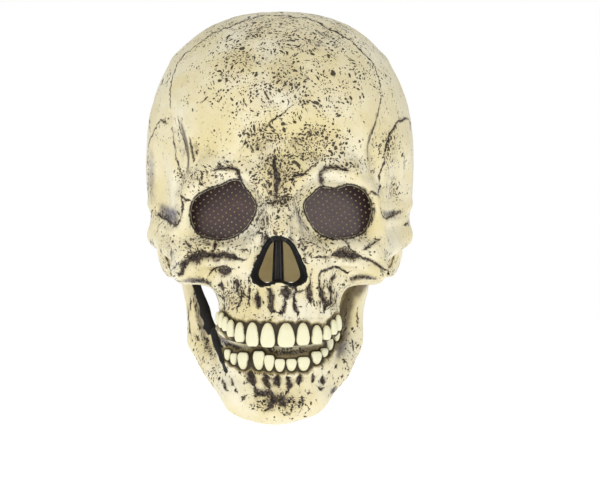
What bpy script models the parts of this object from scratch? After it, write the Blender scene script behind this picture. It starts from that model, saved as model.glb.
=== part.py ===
"""Skull mask for carnival and theatre: two soft latex castings and two perforated eye screens.

Metres, +Z up, the face towards -Y. The origin is the inside of the crown, where the head carries the
mask. The outer skin is one blend of named bones: rays from inside the head meet it, the wall lies
1.8 mm further in, and the openings are cut through both.
"""

import math
from collections import namedtuple

import bmesh
import bpy
import numpy as np
from mathutils import Vector
from mathutils.geometry import delaunay_2d_cdt

# Walls and clearances.
WALL = 0.0018
INNER_SLACK = 0.0008
PIECE_GAP = 0.0003
FLANGE_GAP = 0.0008
SCREEN_THICKNESS = 0.0012
SCREEN_LAP = 0.0042
SCREEN_PITCH = 0.0046
SCREEN_HOLE_RADIUS = 0.00105
SCREEN_HOLE_SIDES = 5

# Rounded box of the cranium.
CRANIUM_CENTRE = (0.0, 0.008, -0.105)
CRANIUM_RADII = (0.0955, 0.112, 0.1075)
CRANIUM_ROUNDNESS = 2.35

# Back face of an eye rim: a plane turned out to the side, as depth over distance from the middle.
EYE_PLANE_X = 0.0375
EYE_PLANE_Y = -0.0835
EYE_PLANE_SLOPE = 0.40
RIM_WALL = 0.0018

# The nose opening has a collar that goes back, and a fluted bar down its middle.
NOSE_COLLAR_BACK_Y = -0.0915
NOSE_BAR_TOP = (-0.0004, -0.1035, -0.1578)
NOSE_BAR_FOOT = (-0.0006, -0.1000, -0.1935)
NOSE_BAR_TOP_HALF = 0.0030
NOSE_BAR_FOOT_HALF = 0.0045
NOSE_BAR_DEPTH = 0.0050

Lump = namedtuple("Lump", "name paired centre radii blend")
Bar = namedtuple("Bar", "name paired start end start_radius end_radius blend")
Tooth = namedtuple("Tooth", "x top bottom width")
Rim = namedtuple("Rim", "name y z")
Outline = namedtuple("Outline", "name x z")
JawColumn = namedtuple("JawColumn", "turn top bottom")

SKULL_BONES = (
    Lump("face core", False, (0, -0.048, -0.150), (0.062, 0.050, 0.075), 0.012),
    Lump("neck filler", False, (0, -0.005, -0.200), (0.055, 0.062, 0.090), 0.010),
    Lump("forehead", False, (0, -0.052, -0.085), (0.062, 0.053, 0.060), 0.020),
    Lump("glabella", False, (0, -0.097, -0.122), (0.019, 0.014, 0.018), 0.012),
    Bar("brow", True, (0.016, -0.1035, -0.1185), (0.046, -0.0955, -0.1140), 0.0075, 0.0075, 0.010),
    Bar("brow side", True, (0.046, -0.0955, -0.1140), (0.063, -0.0800, -0.1320), 0.0075, 0.006, 0.008),
    Bar("orbit outer bar", True, (0.0640, -0.0785, -0.132), (0.0665, -0.0720, -0.163), 0.0058, 0.0085, 0.007),
    Bar("orbit lower rim", True, (0.061, -0.0800, -0.1685), (0.026, -0.0960, -0.1690), 0.0085, 0.0065, 0.007),
    Bar("nose bridge", False, (0, -0.100, -0.126), (0, -0.1115, -0.1545), 0.0095, 0.0075, 0.009),
    Bar("nose flank", True, (0.011, -0.100, -0.136), (0.0235, -0.0985, -0.182), 0.0075, 0.009, 0.009),
    Lump("cheekbone", True, (0.057, -0.0730, -0.1790), (0.018, 0.0155, 0.0125), 0.007),
    Bar("cheek corner", True, (0.0600, -0.0740, -0.1780), (0.0640, -0.0680, -0.1860), 0.009, 0.0060, 0.006),
    Bar("cheek shelf", True, (0.060, -0.0700, -0.1865), (0.036, -0.0880, -0.1865), 0.0055, 0.0065, 0.008),
    Bar("cheek arch", True, (0.068, -0.0600, -0.1680), (0.0845, -0.0200, -0.1570), 0.0095, 0.0080, 0.008),
    Bar("arch root", True, (0.0845, -0.020, -0.1570), (0.0885, 0.010, -0.1520), 0.0080, 0.0060, 0.008),
    Lump("mastoid", True, (0.0800, 0.020, -0.168), (0.0105, 0.017, 0.024), 0.008),
    Lump("maxilla", False, (0, -0.0720, -0.205), (0.0440, 0.0400, 0.050), 0.010),
    Lump("upper gum", False, (0, -0.0770, -0.2220), (0.0435, 0.0380, 0.028), 0.008),
)
SKULL_HOLLOWS = (
    Lump("temple hollow", True, (0.0970, -0.0560, -0.1290), (0.0200, 0.0260, 0.0330), 0.012),
    Lump("orbit", True, (0.0375, -0.1080, -0.1405), (0.0265, 0.0210, 0.0240), 0.006),
    Lump("under cheek", True, (0.0620, -0.0820, -0.2080), (0.0200, 0.0360, 0.0180), 0.006),
)
JAW_BONES = (
    Lump("jaw core", False, (0, -0.056, -0.240), (0.037, 0.041, 0.033), 0.010),
    Bar("chin", True, (0.0224, -0.0860, -0.2665), (0.0060, -0.0925, -0.2720), 0.0135, 0.0140, 0.010),
    Bar("jaw body", True, (0.0402, -0.0620, -0.2475), (0.0224, -0.0860, -0.2665), 0.0122, 0.0135, 0.006),
    Bar("jaw angle", True, (0.0515, -0.0460, -0.2300), (0.0402, -0.0620, -0.2475), 0.0100, 0.0122, 0.006),
    Bar("ramus", True, (0.0520, -0.0460, -0.2300), (0.0540, -0.0460, -0.1950), 0.0100, 0.0095, 0.006),
    Bar("ramus head", True, (0.0540, -0.0460, -0.1950), (0.0640, -0.0430, -0.1500), 0.0095, 0.0140, 0.006),
    Bar("ramus back", True, (0.0490, -0.0290, -0.2260), (0.0530, -0.0270, -0.1950), 0.0100, 0.0100, 0.008),
    Bar("head back", True, (0.0530, -0.0270, -0.1950), (0.0640, -0.0240, -0.1500), 0.0100, 0.0140, 0.008),
    Bar("ramus root", True, (0.0400, -0.0560, -0.2360), (0.0530, -0.0500, -0.2000), 0.0065, 0.0065, 0.005),
    Lump("lower gum", False, (0.003, -0.0740, -0.2440), (0.0385, 0.0370, 0.0160), 0.008),
    Lump("gum flange", False, (0.001, -0.0740, -0.2245), (0.0425, 0.0410, 0.0125), 0.004),
    Bar("gum horn", True, (0.0320, -0.0860, -0.2380), (0.0375, -0.0740, -0.2240), 0.0070, 0.0060, 0.006),
    Bar("trench floor", True, (0.0330, -0.0480, -0.2330), (0.0320, -0.0760, -0.2330), 0.0075, 0.0075, 0.006),
)
JAW_HOLLOWS = (
    Bar("trench", True, (0.0480, -0.0720, -0.1900), (0.0425, -0.0840, -0.2250), 0.0070, 0.0055, 0.004),
    Bar("trench foot", True, (0.0425, -0.0840, -0.2250), (0.0345, -0.0970, -0.2500), 0.0055, 0.0015, 0.004),
)
# The jaw hangs a little to the left of the face.
JAW_SHIFT = -0.0030

# Lower rim of the skull casting seen from the side; all below it is cut away.
SKULL_RIM = (
    Rim("nape", 0.150, -0.189),
    Rim("behind the ear", 0.046, -0.190),
    Rim("mastoid back", 0.034, -0.190),
    Rim("mastoid tip", 0.022, -0.1935),
    Rim("mastoid front", 0.009, -0.184),
    Rim("ear notch", 0.002, -0.1675),
    Rim("arch root", -0.012, -0.1645),
    Rim("arch middle", -0.034, -0.1690),
    Rim("cheek back", -0.0520, -0.1790),
    Rim("cheek foot", -0.0610, -0.1925),
    Rim("side gap top", -0.0700, -0.1960),
    Rim("gum back", -0.0770, -0.2060),
    Rim("gum corner", -0.0790, -0.2190),
    Rim("canine lip", -0.0960, -0.2275),
    Rim("side lip", -0.1080, -0.2315),
    Rim("middle lip", -0.1300, -0.2350),
)
EYE_LEFT = (
    Outline("outer top", -0.0555, -0.1315),
    Outline("top side", -0.0465, -0.1262),
    Outline("top", -0.0330, -0.1208),
    Outline("inner top", -0.0245, -0.1262),
    Outline("inner", -0.0168, -0.1375),
    Outline("inner foot", -0.0215, -0.1500),
    Outline("foot", -0.0345, -0.1587),
    Outline("outer foot", -0.0520, -0.1570),
    Outline("outer", -0.0598, -0.1420),
)
EYE_RIGHT = (
    Outline("outer top", 0.0590, -0.1285),
    Outline("top side", 0.0465, -0.1248),
    Outline("top", 0.0345, -0.1245),
    Outline("inner top", 0.0245, -0.1292),
    Outline("inner", 0.0172, -0.1375),
    Outline("inner foot", 0.0235, -0.1510),
    Outline("foot", 0.0400, -0.1578),
    Outline("outer foot", 0.0545, -0.1545),
    Outline("outer", 0.0625, -0.1380),
)
NOSE = (
    Outline("top", 0.0000, -0.1585),
    Outline("right shoulder", 0.0085, -0.1625),
    Outline("right side", 0.0150, -0.1745),
    Outline("right foot", 0.0182, -0.1855),
    Outline("right sill", 0.0110, -0.1905),
    Outline("middle sill", -0.0002, -0.1878),
    Outline("left sill", -0.0110, -0.1905),
    Outline("left foot", -0.0176, -0.1850),
    Outline("left side", -0.0140, -0.1745),
    Outline("left shoulder", -0.0075, -0.1620),
)
UPPER_TEETH = (
    Tooth(-0.0415, -0.2090, -0.2175, 0.0034),
    Tooth(-0.0390, -0.2092, -0.2200, 0.0036),
    Tooth(-0.0362, -0.2120, -0.2220, 0.0042),
    Tooth(-0.0325, -0.2140, -0.2258, 0.0046),
    Tooth(-0.0264, -0.2155, -0.2292, 0.0062),
    Tooth(-0.0178, -0.2155, -0.2320, 0.0078),
    Tooth(-0.0074, -0.2158, -0.2325, 0.0088),
    Tooth(0.0050, -0.2158, -0.2325, 0.0104),
    Tooth(0.0163, -0.2158, -0.2312, 0.0080),
    Tooth(0.0257, -0.2175, -0.2306, 0.0066),
    Tooth(0.0323, -0.2178, -0.2278, 0.0052),
    Tooth(0.0370, -0.2140, -0.2245, 0.0044),
    Tooth(0.0402, -0.2108, -0.2220, 0.0040),
)
LOWER_TEETH = (
    Tooth(-0.0350, -0.2345, -0.2420, 0.0038),
    Tooth(-0.0305, -0.2370, -0.2450, 0.0044),
    Tooth(-0.0243, -0.2362, -0.2478, 0.0066),
    Tooth(-0.0135, -0.2350, -0.2478, 0.0070),
    Tooth(-0.0064, -0.2376, -0.2485, 0.0062),
    Tooth(0.0007, -0.2402, -0.2490, 0.0062),
    Tooth(0.0085, -0.2402, -0.2485, 0.0062),
    Tooth(0.0168, -0.2390, -0.2485, 0.0074),
    Tooth(0.0254, -0.2356, -0.2445, 0.0064),
    Tooth(0.0308, -0.2336, -0.2398, 0.0046),
    Tooth(0.0345, -0.2270, -0.2358, 0.0044),
    Tooth(0.0393, -0.2222, -0.2297, 0.0040),
)

# Top and bottom of the jaw sheet as elevation angles over the turn from the middle of the face.
JAW_CENTRE = (-0.0030, -0.012, -0.222)
JAW_COLUMNS = (
    JawColumn(0, -1.0, -42.0),
    JawColumn(15, -1.0, -41.0),
    JawColumn(25, 0.5, -39.0),
    JawColumn(30, 1.5, -37.0),
    JawColumn(34, -1.0, -35.5),
    JawColumn(39, -4.0, -33.0),
    JawColumn(44, 0.0, -30.0),
    JawColumn(47, 7.0, -27.5),
    JawColumn(50.5, 17.4, -25.0),
    JawColumn(53, 26.0, -23.0),
    JawColumn(56, 43.0, -20.5),
    JawColumn(62, 44.0, -15.5),
    JawColumn(69, 44.0, -11.5),
    JawColumn(76, 44.0, -8.0),
)


def smooth_union(first, second, blend):
    """The lower of two distances, rounded where they are closer than the blend width."""
    overlap = np.maximum(blend - np.abs(first - second), 0) / blend
    return np.minimum(first, second) - overlap * overlap * blend / 4


def smooth_cut(first, second, blend):
    """The first solid without the second: the higher of its distance and the other's opposite."""
    return -smooth_union(-first, second, blend)


def lump_distance(points, centre, radii):
    """Distance to an ellipsoid: scaled length times itself less one, over the scaled gradient."""
    offset = points - np.asarray(centre)
    radii = np.asarray(radii)
    scaled = np.sqrt(((offset / radii) ** 2).sum(-1))
    gradient = np.sqrt(((offset / radii**2) ** 2).sum(-1))
    return scaled * (scaled - 1) / np.maximum(gradient, 1e-9)


def bar_distance(points, start, end, start_radius, end_radius):
    """Distance to a rod with round ends whose radius changes along it."""
    start = np.asarray(start)
    along = np.asarray(end) - start
    share = np.clip(((points - start) @ along) / (along @ along), 0, 1)
    nearest = start + share[..., None] * along
    length = np.sqrt(((points - nearest) ** 2).sum(-1))
    return length - (start_radius + (end_radius - start_radius) * share)


def cranium_distance(points):
    """Distance to a rounded box: the sum of the scaled sides to the power of its roundness."""
    scaled = np.abs(points - np.asarray(CRANIUM_CENTRE)) / np.asarray(CRANIUM_RADII)
    power = CRANIUM_ROUNDNESS
    total = np.maximum((scaled**power).sum(-1), 1e-9)
    slope = scaled ** (power - 1) / np.asarray(CRANIUM_RADII)
    gradient = total ** (1 / power - 1) * np.sqrt((slope**2).sum(-1))
    return (total ** (1 / power) - 1) / np.maximum(gradient, 1e-9)


def row_distance(points, row):
    """Distance to one row of a bone table; a paired row stands on both sides."""
    if row.paired:
        points = points.copy()
        points[..., 0] = np.abs(points[..., 0])
    if isinstance(row, Lump):
        return lump_distance(points, row.centre, row.radii)
    return bar_distance(points, row.start, row.end, row.start_radius, row.end_radius)


def blend_distance(points, distance, bones, hollows):
    """Add the bones to a distance one after the other, then take the hollows away."""
    for row in bones:
        found = row_distance(points, row)
        distance = found if distance is None else smooth_union(distance, found, row.blend)
    for row in hollows:
        distance = smooth_cut(distance, row_distance(points, row), row.blend)
    return distance


def skull_distance(points):
    """Distance to the outer skin of the skull casting."""
    return blend_distance(points, cranium_distance(points), SKULL_BONES, SKULL_HOLLOWS)


def jaw_distance(points):
    """Distance to the outer skin of the jaw casting."""
    return blend_distance(points - np.array((JAW_SHIFT, 0, 0)), None, JAW_BONES, JAW_HOLLOWS)


def meet(distance, origins, directions, level, reach):
    """Walk in along each ray until the distance is the level, in steps of the distance itself."""
    for _ in range(90):
        reach = reach - 0.75 * (distance(origins + directions * reach[..., None]) - level)
        reach = np.maximum(reach, 0.004)
    return reach


def directions_of(turn, lift):
    """Unit vectors from the turn about Z, zero at the face, and the elevation, both in radians."""
    turn, lift = np.broadcast_arrays(turn, lift)
    flat = np.cos(lift)
    return np.stack([flat * np.sin(turn), -flat * np.cos(turn), np.sin(lift)], -1)


def skull_rays(column_turns, lifts):
    """Origins and directions of a grid; the origin moves forward and down for the lower rows."""
    lower = np.clip(-lifts / math.radians(60), 0, 1)
    ease = lower * lower * (3 - 2 * lower)
    origins = np.zeros((len(lifts), len(column_turns), 3))
    origins[..., 1] = (CRANIUM_CENTRE[1] - 0.046 * ease)[:, None]
    origins[..., 2] = (CRANIUM_CENTRE[2] - 0.022 * ease)[:, None]
    return origins, directions_of(column_turns[None, :], lifts[:, None])


def eased_turns(count, pull):
    """Turns all round, closer together towards the face by a sine term of the given pull."""
    share = np.arange(count) / count * 2 * math.pi - math.pi
    return share - pull * np.sin(share)


def grid_faces(rows, columns, first, closed, flip):
    """Quads of a grid of vertices stored row by row."""
    faces = []
    span = columns if closed else columns - 1
    for row in range(rows - 1):
        for column in range(span):
            beside = (column + 1) % columns
            quad = (first + row * columns + column, first + row * columns + beside,
                    first + (row + 1) * columns + beside, first + (row + 1) * columns + column)
            faces.append(quad[::-1] if flip else quad)
    return faces


def new_object(name, vertices, faces):
    """Put a mesh into the scene under its own name."""
    mesh = bpy.data.meshes.new(name)
    mesh.from_pydata([tuple(map(float, vertex)) for vertex in vertices], [], faces)
    mesh.validate()
    made = bpy.data.objects.new(name, mesh)
    bpy.context.scene.collection.objects.link(made)
    return made


def outward(made):
    """Turn all faces of a closed mesh outward."""
    work = bmesh.new()
    work.from_mesh(made.data)
    bmesh.ops.recalc_face_normals(work, faces=work.faces)
    if work.calc_volume(signed=True) < 0:
        bmesh.ops.reverse_faces(work, faces=work.faces)
    work.to_mesh(made.data)
    work.free()
    return made


def combine(target, others, operation):
    """Cut or join with the exact Boolean, then remove the tools."""
    for other in others:
        step = target.modifiers.new(operation.lower(), "BOOLEAN")
        step.operation = operation
        step.solver = "EXACT"
        step.object = other
        bpy.context.view_layer.update()
        graph = bpy.context.evaluated_depsgraph_get()
        result = bpy.data.meshes.new_from_object(target.evaluated_get(graph))
        target.modifiers.clear()
        old = target.data
        target.data = result
        bpy.data.meshes.remove(old)
        bpy.data.objects.remove(other)
    return target


def tidy(made, distance):
    """Weld stray points, drop slivers and keep triangles only."""
    work = bmesh.new()
    work.from_mesh(made.data)
    bmesh.ops.remove_doubles(work, verts=work.verts, dist=distance)
    bmesh.ops.dissolve_degenerate(work, dist=distance, edges=work.edges)
    bmesh.ops.triangulate(work, faces=work.faces)
    work.to_mesh(made.data)
    work.free()
    return made


def spline(rows, steps):
    """Closed smooth curve through a table of x and z, the same number of steps in each span."""
    knots = np.array([(row.x, row.z) for row in rows])
    found = []
    for index in range(len(knots)):
        before, here, after, later = (knots[(index + step) % len(knots)] for step in (-1, 0, 1, 2))
        for share in np.arange(steps) / steps:
            found.append(0.5 * (2 * here + (after - before) * share
                                + (2 * before - 5 * here + 4 * after - later) * share**2
                                + (3 * here - before - 3 * after + later) * share**3))
    return np.array(found)


def widened(outline, distance):
    """Move each point of a closed outline out along its normal."""
    ahead = np.roll(outline, -1, 0) - np.roll(outline, 1, 0)
    normal = np.stack([ahead[:, 1], -ahead[:, 0]], -1)
    normal /= np.linalg.norm(normal, axis=1, keepdims=True)
    area = (outline[:, 0] * np.roll(outline[:, 1], -1) - outline[:, 1] * np.roll(outline[:, 0], -1)).sum()
    return outline + normal * distance * (1 if area > 0 else -1)


def prism(name, outline, front, back):
    """Solid over an outline in the x-z plane; front and back list its depths."""
    count = len(outline)
    vertices = []
    for depths in (front, back):
        vertices += [(x, y, z) for (x, z), y in zip(outline, depths)]
    faces = [tuple(range(count)), tuple(range(2 * count - 1, count - 1, -1))]
    for index in range(count):
        beside = (index + 1) % count
        faces.append((index, index + count, beside + count, beside))
    return outward(new_object(name, vertices, faces))


def collar(name, inner, outer, front, back):
    """Ring wall between two outlines of the same count; front and back list its depths."""
    count = len(inner)
    vertices = []
    for outline in (inner, outer):
        for depths in (front, back):
            vertices += [(x, y, z) for (x, z), y in zip(outline, depths)]
    faces = []
    for first, second in ((0, 1), (1, 3), (3, 2), (2, 0)):
        for index in range(count):
            beside = (index + 1) % count
            faces.append((first * count + index, first * count + beside,
                          second * count + beside, second * count + index))
    return outward(new_object(name, vertices, faces))


def eye_plane(x, z):
    """Depth of the plane against which an eye screen lies."""
    return EYE_PLANE_Y + EYE_PLANE_SLOPE * (abs(x) - EYE_PLANE_X)


def depth_of(distance, x, z, level):
    """Depth y at which a ray straight in from the front meets a skin."""
    x = np.atleast_1d(np.asarray(x, float))
    z = np.atleast_1d(np.asarray(z, float))
    origins = np.stack([x, np.full_like(x, 0.02), z], -1)
    directions = np.broadcast_to((0.0, -1.0, 0.0), origins.shape)
    reach = meet(distance, origins, directions, level, np.full(x.shape, 0.16))
    return 0.02 - reach


def material(name, colour, roughness):
    """Plain surface with one colour."""
    made = bpy.data.materials.new(name)
    made.use_nodes = True
    shader = made.node_tree.nodes["Principled BSDF"]
    shader.inputs["Base Color"].default_value = (*colour, 1)
    shader.inputs["Roughness"].default_value = roughness
    return made


def thick_shell(name, outer, inner, closed):
    """Closed solid from an outer and an inner grid whose free edges are joined by strips."""
    vertices = []
    faces = []
    loops = []
    for points, flip in ((outer, False), (inner, True)):
        rows, columns = points.shape[:2]
        first = len(vertices)
        vertices += list(points.reshape(-1, 3))
        faces += grid_faces(rows, columns, first, closed, flip)
        index = first + np.arange(rows * columns).reshape(rows, columns)
        if closed:
            vertices.append(points[0].mean(0))
            pole = len(vertices) - 1
            for column in range(columns):
                fan = (pole, index[0, (column + 1) % columns], index[0, column])
                faces.append(fan[::-1] if flip else fan)
            loops.append(list(index[-1]))
        else:
            loops.append(list(index[0]) + list(index[1:, -1]) + list(index[-1, -2::-1])
                         + list(index[-2:0:-1, 0]))
    stitch(vertices, faces, loops)
    return outward(new_object(name, vertices, [tuple(map(int, face)) for face in faces]))


def stitch(vertices, faces, loops):
    """Join two loops of different counts that start together, always over the shorter step."""
    first, second = loops
    one = 0
    two = 0
    while one < len(first) or two < len(second):
        take_one = two >= len(second) or (one < len(first) and one / len(first) <= two / len(second))
        here = first[one % len(first)]
        there = second[two % len(second)]
        if take_one:
            faces.append((here, first[(one + 1) % len(first)], there))
            one += 1
        else:
            faces.append((here, second[(two + 1) % len(second)], there))
            two += 1


def tooth_solid(name, tooth, distance, raised):
    """One cast tooth: a rounded block, a little wider at the biting edge, half sunk in the gum."""
    middle = (tooth.top + tooth.bottom) / 2
    half_height = (tooth.top - tooth.bottom) / 2
    skin = depth_of(distance, (tooth.x, tooth.x - 0.002, tooth.x + 0.002), (middle,) * 3, 0.0)
    slope = max(-1.1, min(1.1, (skin[2] - skin[1]) / 0.004))
    across = np.array((1.0, slope, 0.0)) / math.hypot(1.0, slope)
    out = np.array((slope, -1.0, 0.0)) / math.hypot(1.0, slope)
    across_half = tooth.width / 2 * math.hypot(1.0, slope * 0.8)
    centre = np.array((tooth.x, skin[0], middle)) - out * 0.0003
    vertices = []
    for lift in (-62, -22, 22, 62):
        for turn in range(0, 360, 60):
            flat = math.cos(math.radians(lift)) ** 0.6
            side = math.copysign(abs(math.cos(math.radians(turn))) ** 0.8, math.cos(math.radians(turn)))
            depth = math.copysign(abs(math.sin(math.radians(turn))) ** 0.8, math.sin(math.radians(turn)))
            reach = raised + 0.0003 if depth > 0 else 0.0009
            place = centre + across * across_half * flat * side + out * reach * flat * depth
            vertices.append(place + np.array((0, 0, half_height * math.sin(math.radians(lift)) * 1.06)))
    faces = grid_faces(4, 6, 0, True, False)
    faces.append((5, 4, 3, 2, 1, 0))
    faces.append((18, 19, 20, 21, 22, 23))
    return outward(new_object(name, vertices, faces))


def skull_wall(name, thicker, lower):
    """Cranium and face as one wall, cut along the rim; both sizes can be grown to keep room."""
    turns = eased_turns(54, 0.52)
    lifts = np.radians(np.concatenate([np.linspace(81, 16, 9), np.linspace(9.0, -55, 28)]))
    origins, directions = skull_rays(turns, lifts)
    outer = meet(skull_distance, origins, directions, 0.0, np.full(directions.shape[:2], 0.19))
    inner = meet(skull_distance, origins, directions, -WALL, outer)
    rows, columns, inner = every_second(outer, inner, True)
    inner = inner - thicker
    outer = outer + thicker
    shell = thick_shell(name, origins + directions * outer[..., None],
                        (origins + directions * inner[..., None])[rows][:, columns], True)
    return combine(shell, [rim_cutter(lower)], "DIFFERENCE")


def skull_casting():
    """Cranium, face, nose bar and upper teeth in one piece."""
    shell = skull_wall("skull_shell", 0.0, 0.0)
    for rows in (EYE_LEFT, EYE_RIGHT):
        hole = spline(rows, 2)
        wide = widened(hole, RIM_WALL)
        depths = depth_of(skull_distance, wide[:, 0], wide[:, 1], -WALL * 0.5)
        ring = collar("eye_rim", widened(hole, -0.0012), wide, depths, depth_list(wide, eye_plane))
        combine(shell, [ring], "UNION")
        room = widened(hole, SCREEN_LAP + 0.0008)
        cuts = [prism("screen_room", room, depth_list(room, eye_plane) + 0.00005, np.full(len(room), -0.050)),
                prism("eye_cut", hole, np.full(len(hole), -0.135), np.full(len(hole), -0.060))]
        combine(shell, cuts, "DIFFERENCE")
    hole = spline(NOSE, 2)
    wide = widened(hole, RIM_WALL)
    depths = depth_of(skull_distance, wide[:, 0], wide[:, 1], -WALL * 0.62)
    ring = collar("nose_collar", widened(hole, -0.0012), wide, depths,
                  np.full(len(hole), NOSE_COLLAR_BACK_Y))
    combine(shell, [ring], "UNION")
    cut = prism("nose_cut", hole, np.full(len(hole), -0.135), np.full(len(hole), -0.060))
    combine(shell, [cut], "DIFFERENCE")
    combine(shell, [nose_bar()], "UNION")
    for index, tooth in enumerate(UPPER_TEETH):
        combine(shell, [tooth_solid(f"upper_tooth_{index}", tooth, skull_distance, 0.0020)], "UNION")
    return tidy(shell, 0.00003)


def jaw_casting():
    """Lower jaw with its branches and lower teeth; its upper edge lies behind the upper gum."""
    half = np.array((0, 5, 10, 15, 20, 25, 29, 33, 37, 41, 44, 46.5, 49, 51.5, 54, 57.5, 62, 69, 76))
    turns = np.concatenate([-half[:0:-1], half])
    origins, directions, outer = jaw_grid(turns, 13, 0.0)
    _, _, inner = jaw_grid(turns, 13, WALL)
    rows, columns, inner = every_second(outer, inner, False)
    outer = origins + directions * outer[..., None]
    inner = (origins + directions * inner[..., None])[rows][:, columns]
    shell = thick_shell("jaw_shell", outer, inner, False)
    combine(shell, [skull_wall("keep_clear", PIECE_GAP * 1.3, PIECE_GAP * 1.3)], "DIFFERENCE")
    for index, tooth in enumerate(LOWER_TEETH):
        combine(shell, [tooth_solid(f"lower_tooth_{index}", tooth, jaw_distance, 0.0018)], "UNION")
    return tidy(shell, 0.00003)


def jaw_grid(turns, rows, depth):
    """Grid of the jaw skin; where the skull casting covers it, it stays a gap inside that casting."""
    names = [column.turn for column in JAW_COLUMNS]
    tops = np.interp(np.abs(turns), names, [column.top for column in JAW_COLUMNS])
    bottoms = np.interp(np.abs(turns), names, [column.bottom for column in JAW_COLUMNS])
    share = np.linspace(0, 1, rows)[:, None]
    lifts = np.radians(tops + (bottoms - tops) * share)
    directions = directions_of(np.radians(turns)[None, :], lifts)
    origins = np.broadcast_to(np.asarray(JAW_CENTRE), directions.shape)
    far = np.full(lifts.shape, 0.12)
    reach = meet(jaw_distance, origins, directions, 0.0, far)
    if depth:
        reach = meet(jaw_distance, origins, directions, -depth, reach)
    limit = meet(skull_distance, origins, directions, -(WALL + FLANGE_GAP + depth), far)
    limit = np.where(limit < 0.03, 0.2, limit)
    points = origins + directions * reach[..., None]
    covered = np.clip((points[..., 2] - rim_height(points[..., 1])) / 0.004 + 1.0, 0, 1)
    limit = limit + (1 - covered) * 0.15
    reach = np.minimum(reach, limit)
    for row in range(rows // 2, rows):
        reach[row] = np.maximum(reach[row], reach[row - 1] - 0.006)
    for row in range(rows // 2, -1, -1):
        reach[row] = np.maximum(reach[row], reach[row + 1] - 0.010)
    return origins, directions, reach


def every_second(outer, inner, closed):
    """Rows and columns of a coarse inner grid; where its chords would reach the outer grid, it
    keeps nearer in than all fine outer points round each of its own."""
    rows = np.arange(0, outer.shape[0], 2)
    columns = np.arange(0, outer.shape[1], 2)
    chord = inner.copy()
    after = np.roll(inner, -1, 1)
    before = np.roll(inner, 1, 1)
    last = outer.shape[1] if closed else outer.shape[1] - 1
    chord[:, 1:last:2] = (after[:, 1:last:2] + before[:, 1:last:2]) / 2
    chord[1:-1:2] = (chord[0:-2:2] + chord[2::2]) / 2
    close = around(np.where(chord > outer - INNER_SLACK, 1.0, 0.0), closed, np.maximum) > 0.5
    lowest = around(outer, closed, np.minimum)
    return rows, columns, np.where(close, np.minimum(inner, lowest - INNER_SLACK), inner)


def around(values, closed, rule):
    """Lowest or highest value among each point of a grid and its eight neighbours."""
    padded = np.pad(values, ((1, 1), (0, 0)), mode="edge")
    padded = np.pad(padded, ((0, 0), (1, 1)), mode="wrap" if closed else "edge")
    found = values
    for down in (0, 1, 2):
        for beside in (0, 1, 2):
            found = rule(found, padded[down:down + values.shape[0], beside:beside + values.shape[1]])
    return found


def rim_height(y):
    """Height of the lower rim of the skull casting at a depth."""
    order = sorted(SKULL_RIM, key=lambda row: row.y)
    return np.interp(y, [row.y for row in order], [row.z for row in order])


def rim_cutter(lower):
    """Everything below the rim, as wide as the mask; it can be set lower."""
    below = [(row.y, row.z - lower) for row in SKULL_RIM] + [(-0.130, -0.330), (0.150, -0.330)]
    count = len(below)
    vertices = [(-0.14, y, z) for y, z in below] + [(0.14, y, z) for y, z in below]
    faces = [tuple(range(count)), tuple(range(2 * count - 1, count - 1, -1))]
    for index in range(count):
        beside = (index + 1) % count
        faces.append((index, index + count, beside + count, beside))
    return outward(new_object("rim_cut", vertices, faces))


def nose_bar():
    """Bar down the middle of the nose opening, with a ridge on each side and a flute between."""
    section = ((-1.0, 0.55), (-0.62, -0.35), (-0.22, -0.05), (0.22, -0.05), (0.62, -0.35), (1.0, 0.55),
               (0.7, 1.0), (-0.7, 1.0))
    rows = 5
    vertices = []
    for share in np.linspace(0, 1, rows):
        centre = np.asarray(NOSE_BAR_TOP) * (1 - share) + np.asarray(NOSE_BAR_FOOT) * share
        half = NOSE_BAR_TOP_HALF + (NOSE_BAR_FOOT_HALF - NOSE_BAR_TOP_HALF) * share
        for across, back in section:
            vertices.append(centre + np.array((across * half, back * NOSE_BAR_DEPTH, 0)))
    faces = grid_faces(rows, len(section), 0, True, False)
    faces.append(tuple(range(len(section)))[::-1])
    faces.append(tuple(range((rows - 1) * len(section), rows * len(section))))
    return outward(new_object("nose_bar", vertices, faces))


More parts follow.
